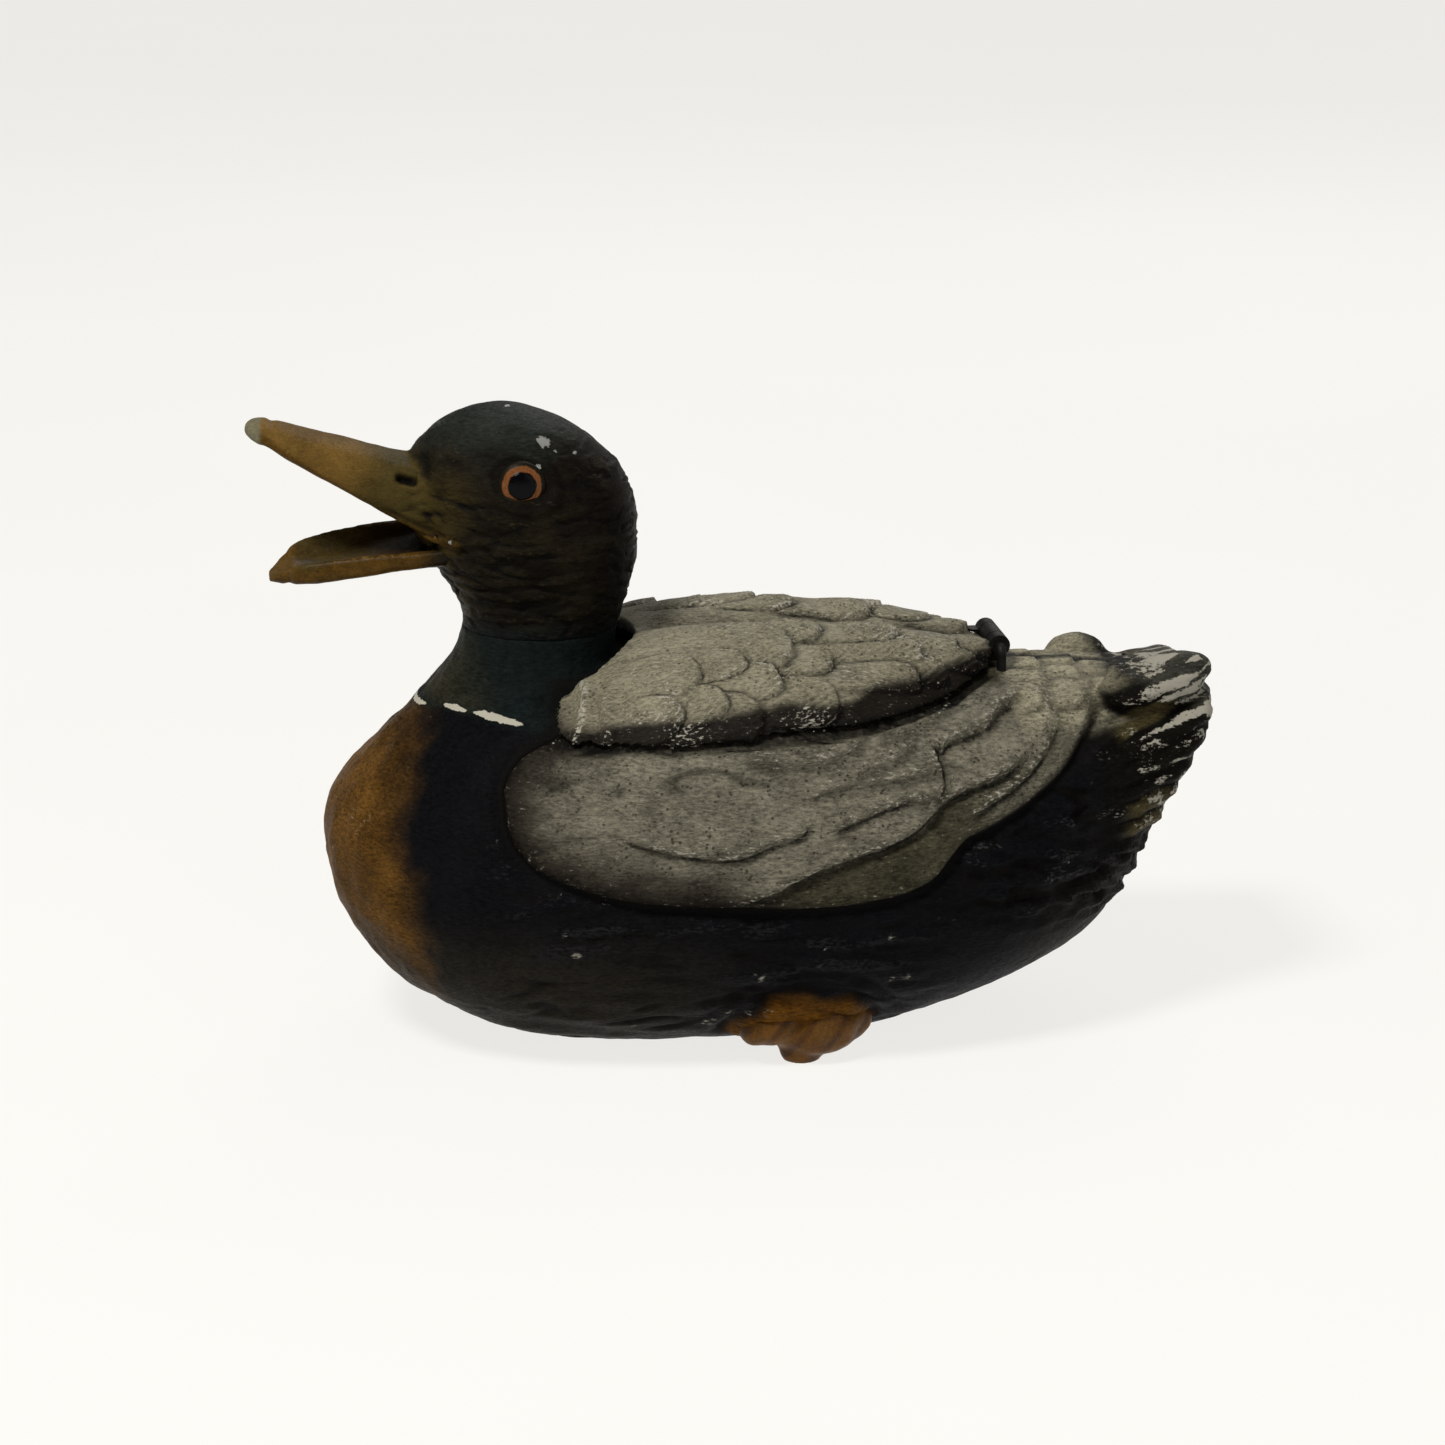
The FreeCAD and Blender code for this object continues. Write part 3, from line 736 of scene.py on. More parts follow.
def flank_relief(skin):
    """The raised panel on each flank, with its feather edges and fine lines."""
    inside = skin.inside
    skin.relief += skin.panel * (1.3 * ramp(inside, -0.5, 0.9) - 1.2 * hill(inside + 1.0, 1.4))
    skin.add_painted_shade(0.8 * skin.panel * hill(inside + 0.8, 1.1))
    skin.add_painted_highlight(0.1 * skin.panel * hill(inside - 0.9, 0.9))
    inner = skin.panel * ramp(inside, 0.2, 1.5)
    for curve, lift, reach, groove in FLANK_EDGES:
        high, low, edge, crease = raised_edge(skin.flat, curve, lift, reach, groove)
        if lift >= CRISP_LIFT:
            skin.crease = nearer(crease, skin.crease)
        skin.relief += inner * high
        skin.add_painted_shade(0.45 * inner * low)
        skin.add_painted_highlight(0.26 * inner * edge)
    skin.relief += inner * (0.5 * skin.noise((17, 13, 3.4), 9.6) + 0.3 * skin.noise((7, 7, 1.8), 4.4))
    skin.crease = np.where(inner > 0.4, skin.crease, FAR)
    skin.crease = np.where(skin.panel > 0.5, nearer(inside, skin.crease), skin.crease)
    lines = creases(skin.swept, (13, 13, 2.6), 3.0, 0.18) * inner
    skin.relief -= 0.4 * lines
    skin.add_painted_shade(0.5 * lines)


def tail_relief(skin):
    """The fan of tail feathers on each side, and the feathers laid over the rump."""
    x, z = skin.x, skin.z
    skin.tail = ramp(x, 62, 76) * ramp(z, 34, 44) * ramp(-skin.inside, -1, 2)
    skin.fan = tail_fan(skin.even)
    skin.ridge = 1 - np.abs((skin.fan % 1) * 2 - 1) ** 2.2
    skin.corner = ramp(z + 0.55 * (x - 80), 67.5, 70.5) * ramp(x, 66, 72)
    skin.relief += skin.tail * skin.side * (1 - 0.75 * skin.corner) * (1.1 * skin.ridge - 0.5)
    skin.add_painted_shade(skin.tail * skin.side * (1 - 0.7 * skin.corner) * hill(skin.ridge, 0.25))
    skin.rump = ramp(skin.normals[:, 2], 0.35, 0.75) * ramp(x, 50.5, 54) * ramp(z, 60, 63)
    top, gap, edge = feather_tiles(skin.even[:, :2], RUMP_TILES, 1.0)[:3]
    skin.crease = np.where(skin.rump > 0.5, FAR, skin.crease)
    skin.relief += skin.rump * (top - 0.3 * gap)
    skin.add_painted_shade(0.55 * skin.rump * gap)
    skin.add_painted_highlight(0.25 * skin.rump * edge)


def stroke_relief(skin):
    """Engraved strokes behind and below the flank, and uneven casting on the neck and breast."""
    x, z = skin.x, skin.z
    level = np.stack([x, skin.across, z + 0.12 * x], 1)
    skin.strokes = rough(level, (7, 7, 2.3), 1.3, 2)
    skin.rear = ramp(x, 24, 38) * ramp(-skin.inside, 0, 3) * ramp(z + 0.15 * (x - 60), 22, 31)
    skin.rear *= skin.side * (1 - 0.6 * skin.tail)
    cuts = creases(level, (8, 8, 2.8), 4.0, 0.34)
    skin.relief += skin.rear * (1.4 * skin.strokes - cuts)
    skin.add_painted_shade(skin.rear * np.maximum(0.8 * ramp(-skin.strokes, 0.2, 0.6), cuts))

    skin.low_side = (1 - ramp(x, 26, 44)) * ramp(-skin.inside, 0, 4) * skin.side * ramp(x, -60, -40)
    skin.low_side *= 1 - ramp(z, 60, 64)
    skin.wisps = rough(skin.even, (14, 14, 2.6), 6.1, 2)
    cuts = creases(skin.swept, (15, 15, 3.2), 8.0, 0.22)
    skin.relief += skin.low_side * (0.5 * skin.wisps - 0.45 * cuts)
    skin.add_painted_shade(skin.low_side * np.maximum(0.6 * ramp(-skin.wisps, 0.3, 0.8), 0.8 * cuts))

    neck = ramp(z, 66, 70) * ramp(-x, 16, 20) * ramp(SEAM_Z + 0.5 - z, 0, 3)
    skin.relief += neck * (0.22 * skin.noise((2.2, 2.2, 12), 3.6) + 0.12 * skin.noise((1.2, 1.2, 7), 7.2))
    skin.breast = ramp(-x, 52, 62) * (1 - neck)
    skin.relief += skin.breast * (0.65 * skin.noise(11, 4.0) + 0.35 * skin.noise(4.5, 9.0)
                                  + 0.12 * skin.noise(2, 3.0))


def foot_hollow(skin):
    """The thigh above each foot, with two folds round it."""
    skin.arch = np.hypot((skin.x - FOOT_PLACE[0]) / 15.5, (skin.z - FOOT_PLACE[1]) / 14.5)
    skin.foot = skin.side * ramp(skin.across, 30, 34)
    low, high = ramp(skin.z, 3, 7), ramp(skin.z, 6, 12)
    skin.relief += skin.foot * 1.6 * ramp(-skin.arch, -0.98, -0.8)
    skin.relief -= skin.foot * 1.2 * hill(skin.arch - 1.06, 0.09) * low
    skin.relief -= skin.foot * 0.6 * hill(skin.arch - 1.35, 0.07) * high
    skin.add_painted_shade(skin.foot * hill(skin.arch - 1.05, 0.08) * low)
    skin.add_painted_shade(0.7 * skin.foot * hill(skin.arch - 1.35, 0.06) * high)
    skin.relief += skin.foot * ramp(-skin.arch, -0.95, -0.7) * 0.6 * skin.noise(4.2, 7.7)


def body_relief(skin):
    """How far each point of the plain skin moves outwards, and the masks that go with it, painted shade and
    highlight among them.
    """
    x, y, z = skin.points.T
    skin.side = ramp(np.abs(skin.normals[:, 1]), 0.12, 0.4)
    skin.inside = curve_field(skin.flat, FLANK_OUTLINE)[0]
    skin.panel = skin.side * ramp(z, 30, 34) * (1 - ramp(z, 67, 69.5) * ramp(-x, 14, 20))
    skin.swept = np.stack([x, skin.across, z + 0.004 * (x + 10) ** 2], 1)
    flank_relief(skin)
    tail_relief(skin)
    stroke_relief(skin)
    foot_hollow(skin)
    far_corner = ramp(y, 6, 10) * ramp(z, 63, 66) * ramp(x, 52, 56)
    skin.relief *= 1 - 0.85 * far_corner
    skin.dark *= 1 - 0.85 * far_corner
    skin.crease = np.where(far_corner > 0.3, FAR, skin.crease)
    skin.relief += 0.12 * rough(skin.even, 3.2, 2.7, 2)


def lid_shape(x):
    """Half width and top of the lid at x."""
    rows = eased(LID_SECTIONS, 6)
    return np.interp(x, rows[:, 0], rows[:, 1], left=0, right=0), np.interp(x, rows[:, 0], rows[:, 2])


def make_room(skin):
    """Keeps the relief out of the lid, the seat, the floor and the neck's seam."""
    x, y, z = skin.points.T
    covered = ramp(skin.across - lid_shape(x)[0], 1.5, -0.5) * ramp(z, 62, 64)
    covered *= ramp(x, -41, -38) * ramp(52.5 - x, 0, 1)
    skin.relief = np.where(skin.relief > 0, skin.relief * (1 - covered), skin.relief) - 0.15 * covered
    skin.relief *= ramp(np.hypot((x - RECESS[0]) / RECESS[1], y / RECESS[2]), 1.01, 1.08)
    skin.relief *= ramp(z, 0.0, 2.0)
    skin.relief -= 0.7 * ramp(z, SEAM_Z + 0.7, SEAM_Z + 1.8)


def breast_paint(skin, soft):
    """Navy all over, then the belly, the orange breast and the teal neck with a painted highlight on its
    front.
    """
    x, z = skin.x, skin.z
    skin.prime("navy")
    skin.coat("belly", 0.85 * ramp(30 + 0.5 * soft - z, -6, 14) * ramp(-x, -10, 30))
    skin.coat("belly", 0.35 * ramp(x, 44, 66) * ramp(40 - z, -2, 12))
    edge_x = np.interp(z, *zip(*BREAST_EDGE))
    skin.orange = ramp(edge_x - x + soft, -4.5, 5.0)
    skin.coat("breast", skin.orange, (1 + 0.35 * rough(skin.even, 9, 6.6, 3))[:, None])
    skin.coat("belly", 0.75 * skin.orange * ramp(26 + 2 * soft - z, -8, 12), 1.2)
    skin.ring, skin.neck_turn = neck_band(skin.even)
    neck = ramp(skin.ring, -1.5, 0.5) * ramp(-x, 18, 24) * ramp(z, 62.5, 65)
    skin.coat("teal", neck)
    # Painted highlight: a paler olive on the front of the teal neck.
    skin.coat("neck_front_highlight", 0.7 * neck * ramp(soft - x, 46, 58) * ramp(z, 66, 69) * ramp(84 - z, 0, 8))


def flank_paint(skin, soft):
    """The pale flank, olive below its lowest feather edge, with a painted shadow in brown along its front
    edge.
    """
    x, z = skin.x, skin.z
    skin.flank = skin.panel * ramp(skin.inside, -0.5, 0.5)
    layer = curve_field(skin.flat, FLANK_EDGES[0][0])[0]
    below = ramp(0.4 * soft - layer, -0.3, 1.2) * ramp(x, -8, 4)
    warm = mix(PAINTS["flank"] * 1.12, PAINTS["flank_low"] * 0.8, below * (1 - 0.6 * ramp(x, 34, 50)))
    warm = warm * (1 + 0.22 * rough(skin.even, (6, 6, 4), 8.3, 3))[:, None]
    # Painted shadow: brown within about 12 mm of the panel's front edge, fading out towards the rear and top.
    clear_of_front_shadow = ramp(skin.inside + 0.8 * soft, 0.5, 12) + ramp(x + z - 45, -16, 8)
    skin.lay(mix(PAINTS["brown"] * 1.6, warm, np.clip(clear_of_front_shadow, 0, 1)), skin.flank)


def tail_paint(skin, soft):
    """The rump, the deck under the lid, the tail's dark, gold and pale feathers, and the thighs."""
    x, y, z = skin.points.T
    up = skin.normals[:, 2]
    skin.rump *= ramp(76 - x + soft, -3, 5)
    skin.coat("lid", skin.rump, 1.15)
    deck = ramp(z, 66, 69) * ramp(skin.inside, -1, 1) * ramp(up, 0.5, 0.8) * ramp(51.5 - x, 0, 1)
    skin.coat("flank_low", deck, 0.7)
    skin.tail *= 1 - skin.rump
    skin.coat("tail", skin.tail)
    number = np.floor(skin.fan)
    gold = skin.tail * ((number % 4 == 2) | (number % 5 == 1)) * ramp(x + soft, 71, 75)
    gold *= ramp(86 + soft - x, -1, 3) * ramp(95 - x, 4, 16)
    skin.coat("gold", gold * ramp(skin.ridge, 0.25, 0.5))
    skin.coat("lobe", 0.8 * skin.corner * ramp(-up, -0.2, 0.9))
    skin.coat("lobe", 0.55 * skin.corner)
    skin.coat("lid", skin.corner * ramp(y, 4, 8) * ramp(79 + 0.5 * soft - x, -1, 2), 0.75)
    skin.coat("foot", skin.foot * ramp(1.0 - skin.arch + 0.05 * soft, -0.06, 0.10))


def body_wear_shade_and_highlight(skin, soft):
    """Where the body's paint is rubbed or painted with highlight, the colour shown there, and its painted
    shade.
    """
    x, z = skin.x, skin.z
    # Painted shadow just under the lid's rim, added to the painted shade of the body's hollows.
    under_lid_shadow = ramp(skin.across - lid_shape(x)[0], 2.0, 0.6) * ramp(z, 62, 65) * ramp(x, -40, -36)
    painted_shade = np.clip(skin.dark * (1 + 0.2 * soft) + 0.9 * under_lid_shadow * ramp(74.5 - z, 0, 2), 0, 1)
    over = z * math.cos(TAIL_TILT) - x * math.sin(TAIL_TILT)
    streaks = noise(np.stack([x, skin.across, over], 1), (8, 1.6, 0.9), 5.5) + 0.5 * skin.noise(9, 3.5)
    # Painted highlight on raised edges, then pale paint on the tail's feather ends and corners.
    wear_and_highlight = skin.bright * (0.9 + 0.2 * soft)
    pale_ends = (0.1 + 0.85 * ramp(x, 72, 84)) * ramp(streaks, -0.25, 0.45)
    wear_and_highlight += skin.tail * pale_ends * ramp(skin.ridge, 0.1, 0.7)
    wear_and_highlight += skin.corner * (0.1 + 0.35 * ramp(x, 80, 90)) * ramp(streaks, -0.3, 0.6)
    flecks = ramp(skin.noise(1.5, 2.2), 0.42, 0.7) * ramp(skin.noise(7, 9.2), 0.0, 0.4)
    wear_and_highlight += 0.6 * flecks * ramp(x, 58, 68) * ramp(z, 30, 36) * ramp(54 - z, 0, 8) * (1 - skin.flank)
    # Painted highlight on the raised strokes at the rear and on the wisps low on the side.
    wear_and_highlight += 0.5 * skin.rear * ramp(skin.strokes, 0.1, 0.7)
    wear_and_highlight += 0.6 * skin.low_side * ramp(skin.wisps, -0.1, 0.7)
    wear_and_highlight += 0.06 * skin.flank + 0.08 * skin.rump
    wear_and_highlight += 0.2 * skin.breast * ramp(skin.noise(5, 6.6), 0.3, 0.7)
    pale = np.maximum(skin.tail, ramp(flecks, 0.1, 0.4))
    wear_and_highlight_colour = mix(NAVY_WEAR_AND_HIGHLIGHT, PAINTS["white"] * 0.9, pale)
    wear_and_highlight_colour = mix(wear_and_highlight_colour, np.array(PALE_METAL) * 0.75, skin.orange * (1 - skin.flank))
    wear_and_highlight_colour = mix(wear_and_highlight_colour, REAR_WEAR_AND_HIGHLIGHT, skin.rear * (1 - pale))
    return mix(wear_and_highlight_colour, PAINTS["white"], skin.flank), wear_and_highlight, painted_shade


def tail_blades():
    """The ends of the tail feathers, which stand out of the rear edge as a fan."""
    blades = []
    for side in (-1, 1):
        for x, y, z, tilt, turn in SIDE_BLADES:
            blades.append(ellipsoid((x, side * y, z), (9.0, 3.2, 3.2), tilt, side * turn))
    for k in range(-2, 3):
        blades.append(ellipsoid((85.5, 6.4 * k, 65.0 - 0.25 * k * k), (8.5, 4.2, 2.6), 10, 2 * k))
    return blades


def make_body():
    forms = [body_form(), head_form(0, SEAM_Z + 2)] + tail_blades()
    forms += [ellipsoid(centre, radii, tilt) for centre, radii, tilt in TAIL_CORNERS]
    body = reskin(make_mesh("body_shell", forms), BODY_GRAIN, 5)
    cut(body, column(RECESS, RECESS_FLOOR_Z, 120))
    cut(body, column(WELL, 30, 120))
    cut(body, column(BASE, -5, BASE_THICKNESS))
    skin = Skin(body)
    body_relief(skin)
    make_room(skin)
    skin.move()
    soft = 2.2 * skin.noise(8, 1.7) + 1.2 * skin.noise(3, 3.9)
    breast_paint(skin, soft)
    flank_paint(skin, soft)
    tail_paint(skin, soft)
    skin.keep(*body_wear_shade_and_highlight(skin, soft), np.clip(skin.flank + 0.7 * skin.rump, 0, 1))
    give(body, "ring", skin.ring)
    give(body, "neck_turn", skin.neck_turn)
    return body


# ---------------------------------------------------------------- the head and the bill
HEAD_GRAIN = 0.45
SEAM_Z = 79.5
UPPER_BILL = (
    # distance, half width, crown above the line, edge below the line, palate rise
    (-4, 11.5, 9.5, 9.0, 0.5), (4, 11.2, 9.0, 9.2, 1.0), (10.7, 10.3, 6.6, 8.9, 2.0),
    (16, 9.4, 5.2, 8.2, 2.2), (21.4, 8.8, 4.6, 7.1, 2.2), (27, 8.6, 4.1, 5.9, 1.8), (32, 8.2, 3.6, 4.7, 1.4),
    (37, 7.5, 3.1, 3.4, 1.0), (41, 6.4, 2.7, 2.1, 0.6), (43.6, 4.9, 2.2, 1.7, 0.2), (45.2, 3.1, 1.5, 1.2, 0),
    (45.9, 1.6, 0.7, 0.7, 0),
)
LOWER_BILL = (
    # distance, half width, rim above the line, keel below the line, channel depth
    (-7, 9.4, 0.8, 4.6, 0.2), (0, 10.3, 1.0, 4.4, 1.0), (6, 10.2, 1.4, 3.9, 1.8), (9, 10.0, 1.8, 3.5, 2.2),
    (16.6, 9.4, 2.9, 2.9, 3.4), (23, 8.7, 3.5, 2.8, 4.0), (28, 7.9, 3.7, 2.7, 4.0), (32, 6.8, 3.4, 2.4, 2.8),
    (34.6, 5.2, 2.2, 2.3, 1.0), (36.4, 3.6, 0.3, 2.0, 0.1), (38.2, 2.0, -0.7, 1.5, 0.0),
)
LOWER_BILL_ROLL = 0.15
HEAD_FOLDS = (
    # curve in x and z on the side of the head, lift of its upper side, groove
    (((-57.6, 101.6), (-55.6, 99.9), (-53.5, 99.3), (-50, 99.9), (-46.5, 99.2)), 0.35, 0.45),
    (((-52, 97.0), (-48.5, 96.2), (-45, 96.8), (-41.5, 96.0)), 0.25, 0.32),
    (((-52.5, 107.6), (-50.5, 106.2), (-48.3, 104.6), (-45.6, 103.3)), 0.3, 0.3),
    (((-53, 88.8), (-48, 87.4), (-43.5, 87.8), (-38, 88.8), (-34, 89.2)), 0.3, 0.5),
    (((-47, 91.2), (-42, 91.9), (-37, 91.4), (-31, 92.6), (-27, 93.0)), 0.25, 0.35),
    (((-52, 84.4), (-46, 83.6), (-40, 84.3), (-33, 84.0), (-27, 85.4)), 0.25, 0.3),
    (((-45, 80.9), (-38, 80.4), (-31, 81.2), (-25, 82.9), (-21.5, 85)), 0.45, 0.6),
    (((-60, 94.6), (-57.6, 91.4), (-55.4, 87.6), (-53.4, 84.2)), 0.2, 0.3),
)
NOSTRIL = ((-64.3, 111.7), (-62.0, 111.1))
GAPE_LINE = ((-68.5, 105.4), (-64, 103.3), (-59.8, 101.4), (-57.2, 100.6), (-55.2, 100.1))
# x and width, z and height of the pits at the two corners of the eye
EYE_CORNERS = ((-36.3, 1.6, 110.6, 1.5), (-47.6, 1.2, 113.4, 0.9))
# height above the bill's line, and how far out along it the paint of the bill begins there
BILL_BASE_LINE = ((-6, 2), (-3.3, 4.2), (1.2, 8.1), (4.7, 12), (6, 15.5))
# place and size of each chip in the paint
HEAD_CHIPS = (((-37.2, -11.6, 118.6), 1.35), ((-38.9, -15.8, 114.5), 0.75), ((-43.3, -2.4, 123.9), 0.6),
              ((-31.2, -10.8, 116.2), 0.45), ((-55.4, -13.2, 99.9), 0.5), ((-35.0, -12.4, 117.0), 0.4))
BILL_CHIPS = (((-70.5, -6.5, 99.0), 1.0),)


def upper_bill_section(row):
    _, width, crown, edge, palate = row
    y = width * squared(np.cos(ROUND), 2.5)
    swell = np.abs(np.sin(ROUND))
    arch = palate * np.maximum(1 - (y / width) ** 2, 0)
    return y, np.where(np.sin(ROUND) >= 0, crown * swell ** 0.95, arch - edge * swell ** 0.55)


def lower_bill_section(row):
    _, width, rim, keel, channel = row
    y = width * squared(np.cos(ROUND), 2.3)
    swell = np.abs(np.sin(ROUND))
    hollow = channel * ramp(1 - np.abs(y) / width, 0.06, 0.5)
    return y, np.where(np.sin(ROUND) >= 0, rim * swell ** 0.4 - hollow, -keel * swell ** 0.8)


def line_place(flat, line):
    """How far out along a bill's line flat points are, and how far above it."""
    start, end = np.array(line)
    way = (end - start) / np.linalg.norm(end - start)
    return (flat - start) @ way, (flat - start) @ np.array([way[1], -way[0]])


def fold_relief(skin):
    """The folds modelled on the sides of the head, and the lids round each eye."""
    side = ramp(np.abs(skin.normals[:, 1]), 0.25, 0.55)
    for curve, lift, groove in HEAD_FOLDS:
        high, low, edge = raised_edge(skin.flat, curve, lift, 2.2, groove)[:3]
        skin.relief += side * high
        skin.add_painted_shade(0.55 * side * low)
        skin.add_painted_highlight(0.3 * side * edge)
    out_x, out_z = skin.x - EYE[0], skin.z - EYE[1]
    skin.from_eye = np.hypot(out_x, out_z)
    almond = np.hypot((out_x - 0.2 + 0.3 * out_z) / 1.22, out_z)
    eye = ramp(np.abs(skin.normals[:, 1]), 0.3, 0.6) * ramp(skin.across, 8, 11)
    skin.relief += eye * (0.5 * hill(almond - 5.2, 0.8) - 0.25 * hill(almond - 6.6, 0.7)
                          - 0.7 * hill(skin.from_eye, 4.0))
    skin.add_painted_shade(0.7 * eye * hill(almond - 4.5, 0.6))
    skin.add_painted_shade(0.3 * eye * hill(almond - 6.5, 0.6) * ramp(skin.noise(4, 3.3), -0.3, 0.3))
    corners = sum(hill(skin.x - x, wide) * hill(skin.z - z, tall) for x, wide, z, tall in EYE_CORNERS)
    skin.relief -= 0.5 * eye * corners
    skin.add_painted_shade(0.9 * eye * corners)
    skin.add_painted_highlight(0.12 * eye * hill(almond - 5.3, 0.6))


def line_relief(skin):
    """The engraved feather lines of the head and neck, calmer on the crown and absent on the bill."""
    nape = rough(skin.even, (11, 11, 1.9), 5.0, 2) * (1 - skin.on_bill)
    fine_lines = rough(skin.even, (6, 6, 0.9), 7.0, 1) * (1 - skin.on_bill)
    tilted = np.stack([skin.x, skin.across, skin.z + 0.12 * (skin.x + 40) + 0.9 * skin.noise(14, 3.0)], 1)
    calm = ramp(skin.z, 112, 120)
    lines = creases(tilted, (9, 9, 2.2), 2.0) + 0.7 * creases(tilted, (5, 5, 1.5), 6.0)
    lines *= (1 - skin.on_bill) * ramp(skin.from_eye, 5.5, 8) * (1 - 0.75 * calm)
    skin.relief += (0.26 * nape + 0.1 * fine_lines) * (1 - 0.5 * calm) - 0.42 * lines
    skin.add_painted_shade(0.8 * lines)
    skin.add_painted_highlight(0.4 * ramp(nape + 0.6 * fine_lines, 0.3, 1.0) * (1 - calm) * ramp(-skin.out, -9, -5))


def mouth_relief(skin):
    """The nostrils, the corner of the mouth, the nail at the bill's tip and the seam at the neck."""
    start, end = np.array(NOSTRIL)
    share = np.clip((skin.flat - start) @ (end - start) / ((end - start) @ (end - start)), 0, 1)
    apart = np.hypot(*(skin.flat - start - share[:, None] * (end - start)).T)
    slot = ramp(skin.across, 4, 6)
    skin.relief += slot * (-1.7 * ramp(-apart, -1.15, -0.3) + 0.3 * hill(apart - 1.7, 0.6))
    skin.add_painted_shade(slot * ramp(-apart, -1.05, -0.65))
    apart, along = curve_field(skin.flat, GAPE_LINE)
    gape = ramp(np.abs(skin.normals[:, 1]), 0.25, 0.55) * ramp(skin.across, 5, 7) * ramp(along, 0, 0.1)
    skin.relief += gape * (0.5 * hill(apart + 0.9, 0.7) - 0.45 * hill(apart - 0.5, 0.6)
                           - 0.4 * hill(apart + 2.2, 0.6))
    skin.add_painted_shade(0.5 * gape * hill(apart - 0.4, 0.5))
    skin.gape = gape * hill(apart + 0.9, 0.9)
    skin.relief += skin.on_bill * (0.12 * skin.noise(5, 2.2) + 0.06 * skin.noise(1.8, 4.4))
    skin.relief += 0.25 * ramp(skin.out, 41.8, 43.0)
    skin.relief -= 0.2 * hill(skin.out - 41.6, 0.8) * ramp(skin.above, -1.0, 0.8)
    skin.relief *= ramp(skin.z, SEAM_Z + 0.8, SEAM_Z + 3)
    skin.relief -= 0.6 * ramp(SEAM_Z + 1.1 - skin.z, 0, 1.1)


def head_paint(skin, soft):
    """Dark green crown, brown cheeks with patches, a darker nape and an olive throat."""
    x, z = skin.x, skin.z
    skin.crown = ramp(z - 0.07 * (x + 40) + 1.2 * soft, 111, 121)
    lower = 1 - skin.crown
    skin.prime("cheek")
    skin.coat("crown", skin.crown)
    skin.coat("nape", lower * ramp(x + 2 * soft, -40, -27))
    patches = rough(skin.even, (7, 7, 3.4), 2.9, 3)
    skin.coat("nape", lower * 0.8 * ramp(patches, 0.0, 0.55), 0.7)
    skin.coat("cheek", lower * 0.5 * ramp(-patches, 0.05, 0.6), 1.5)
    skin.coat("nape", 0.6 * hill(z - 115, 3.0) * ramp(-x, 38, 46))
    skin.coat("bill_base", 0.5 * hill(x + 55.5, 4.5) * hill(z - 107, 8), 0.75)
    skin.coat("bill_base", 0.6 * ramp(-x, 49.5, 54) * ramp(97 - z, 0, 6), 0.55)
    skin.coat("teal", ramp(82.0 + 1.2 * soft - z, -3.0, 2.5))


def bill_paint(skin, soft):
    """Ochre bill, olive at its base and orange along its edge, with a pale nail and a dark palate."""
    out, down = skin.out + 0.6 * soft, -skin.normals[:, 2]
    edge = np.interp(skin.out, *np.array(UPPER_BILL)[:, [0, 3]].T)
    skin.low_edge = ramp(skin.above + edge, 3.4, 1.6)
    skin.bill = ramp(out - np.interp(skin.above, *zip(*BILL_BASE_LINE)), -2.2, 2.2)
    tone = mix(PAINTS["bill_base"] * 0.6, PAINTS["bill_base"], ramp(out, 5, 15))
    tone = mix(tone, PAINTS["bill"], ramp(out, 17, 30))
    orange_edge = ramp(skin.low_edge + 0.1 * soft, 0.2, 0.8) * ramp(out, 6, 14)
    tone = mix(tone, PAINTS["bill_edge"], 0.85 * orange_edge)
    tone = tone * (1 + 0.2 * rough(skin.even, 5, 4.7, 3))[:, None]
    skin.lay(mix(tone, PAINTS["mouth"], ramp(down, 0.75, 0.93) * ramp(44 - out, 0, 4)), skin.bill)
    skin.coat("bill_edge", 0.8 * skin.gape, 1.2)
    skin.coat("nail", skin.bill * ramp(skin.out - 0.35 * skin.above + 0.25 * soft, 42.4, 43.6))
    roof = ramp(down, 0.55, 0.85) * ramp(skin.out, 4, 10) * ramp(skin.across, 11, 8)
    skin.coat("mouth", roof * (1 - skin.bill), 0.6)


def spots(points, rows, low, high):
    """Chips in the paint, each a place and a size: 1 inside low sizes of it and 0 beyond high sizes."""
    shares = [ramp(-np.linalg.norm(points - np.array(place), axis=1), -size * high, -size * low)
              for place, size in rows]
    return np.maximum.reduce(shares)


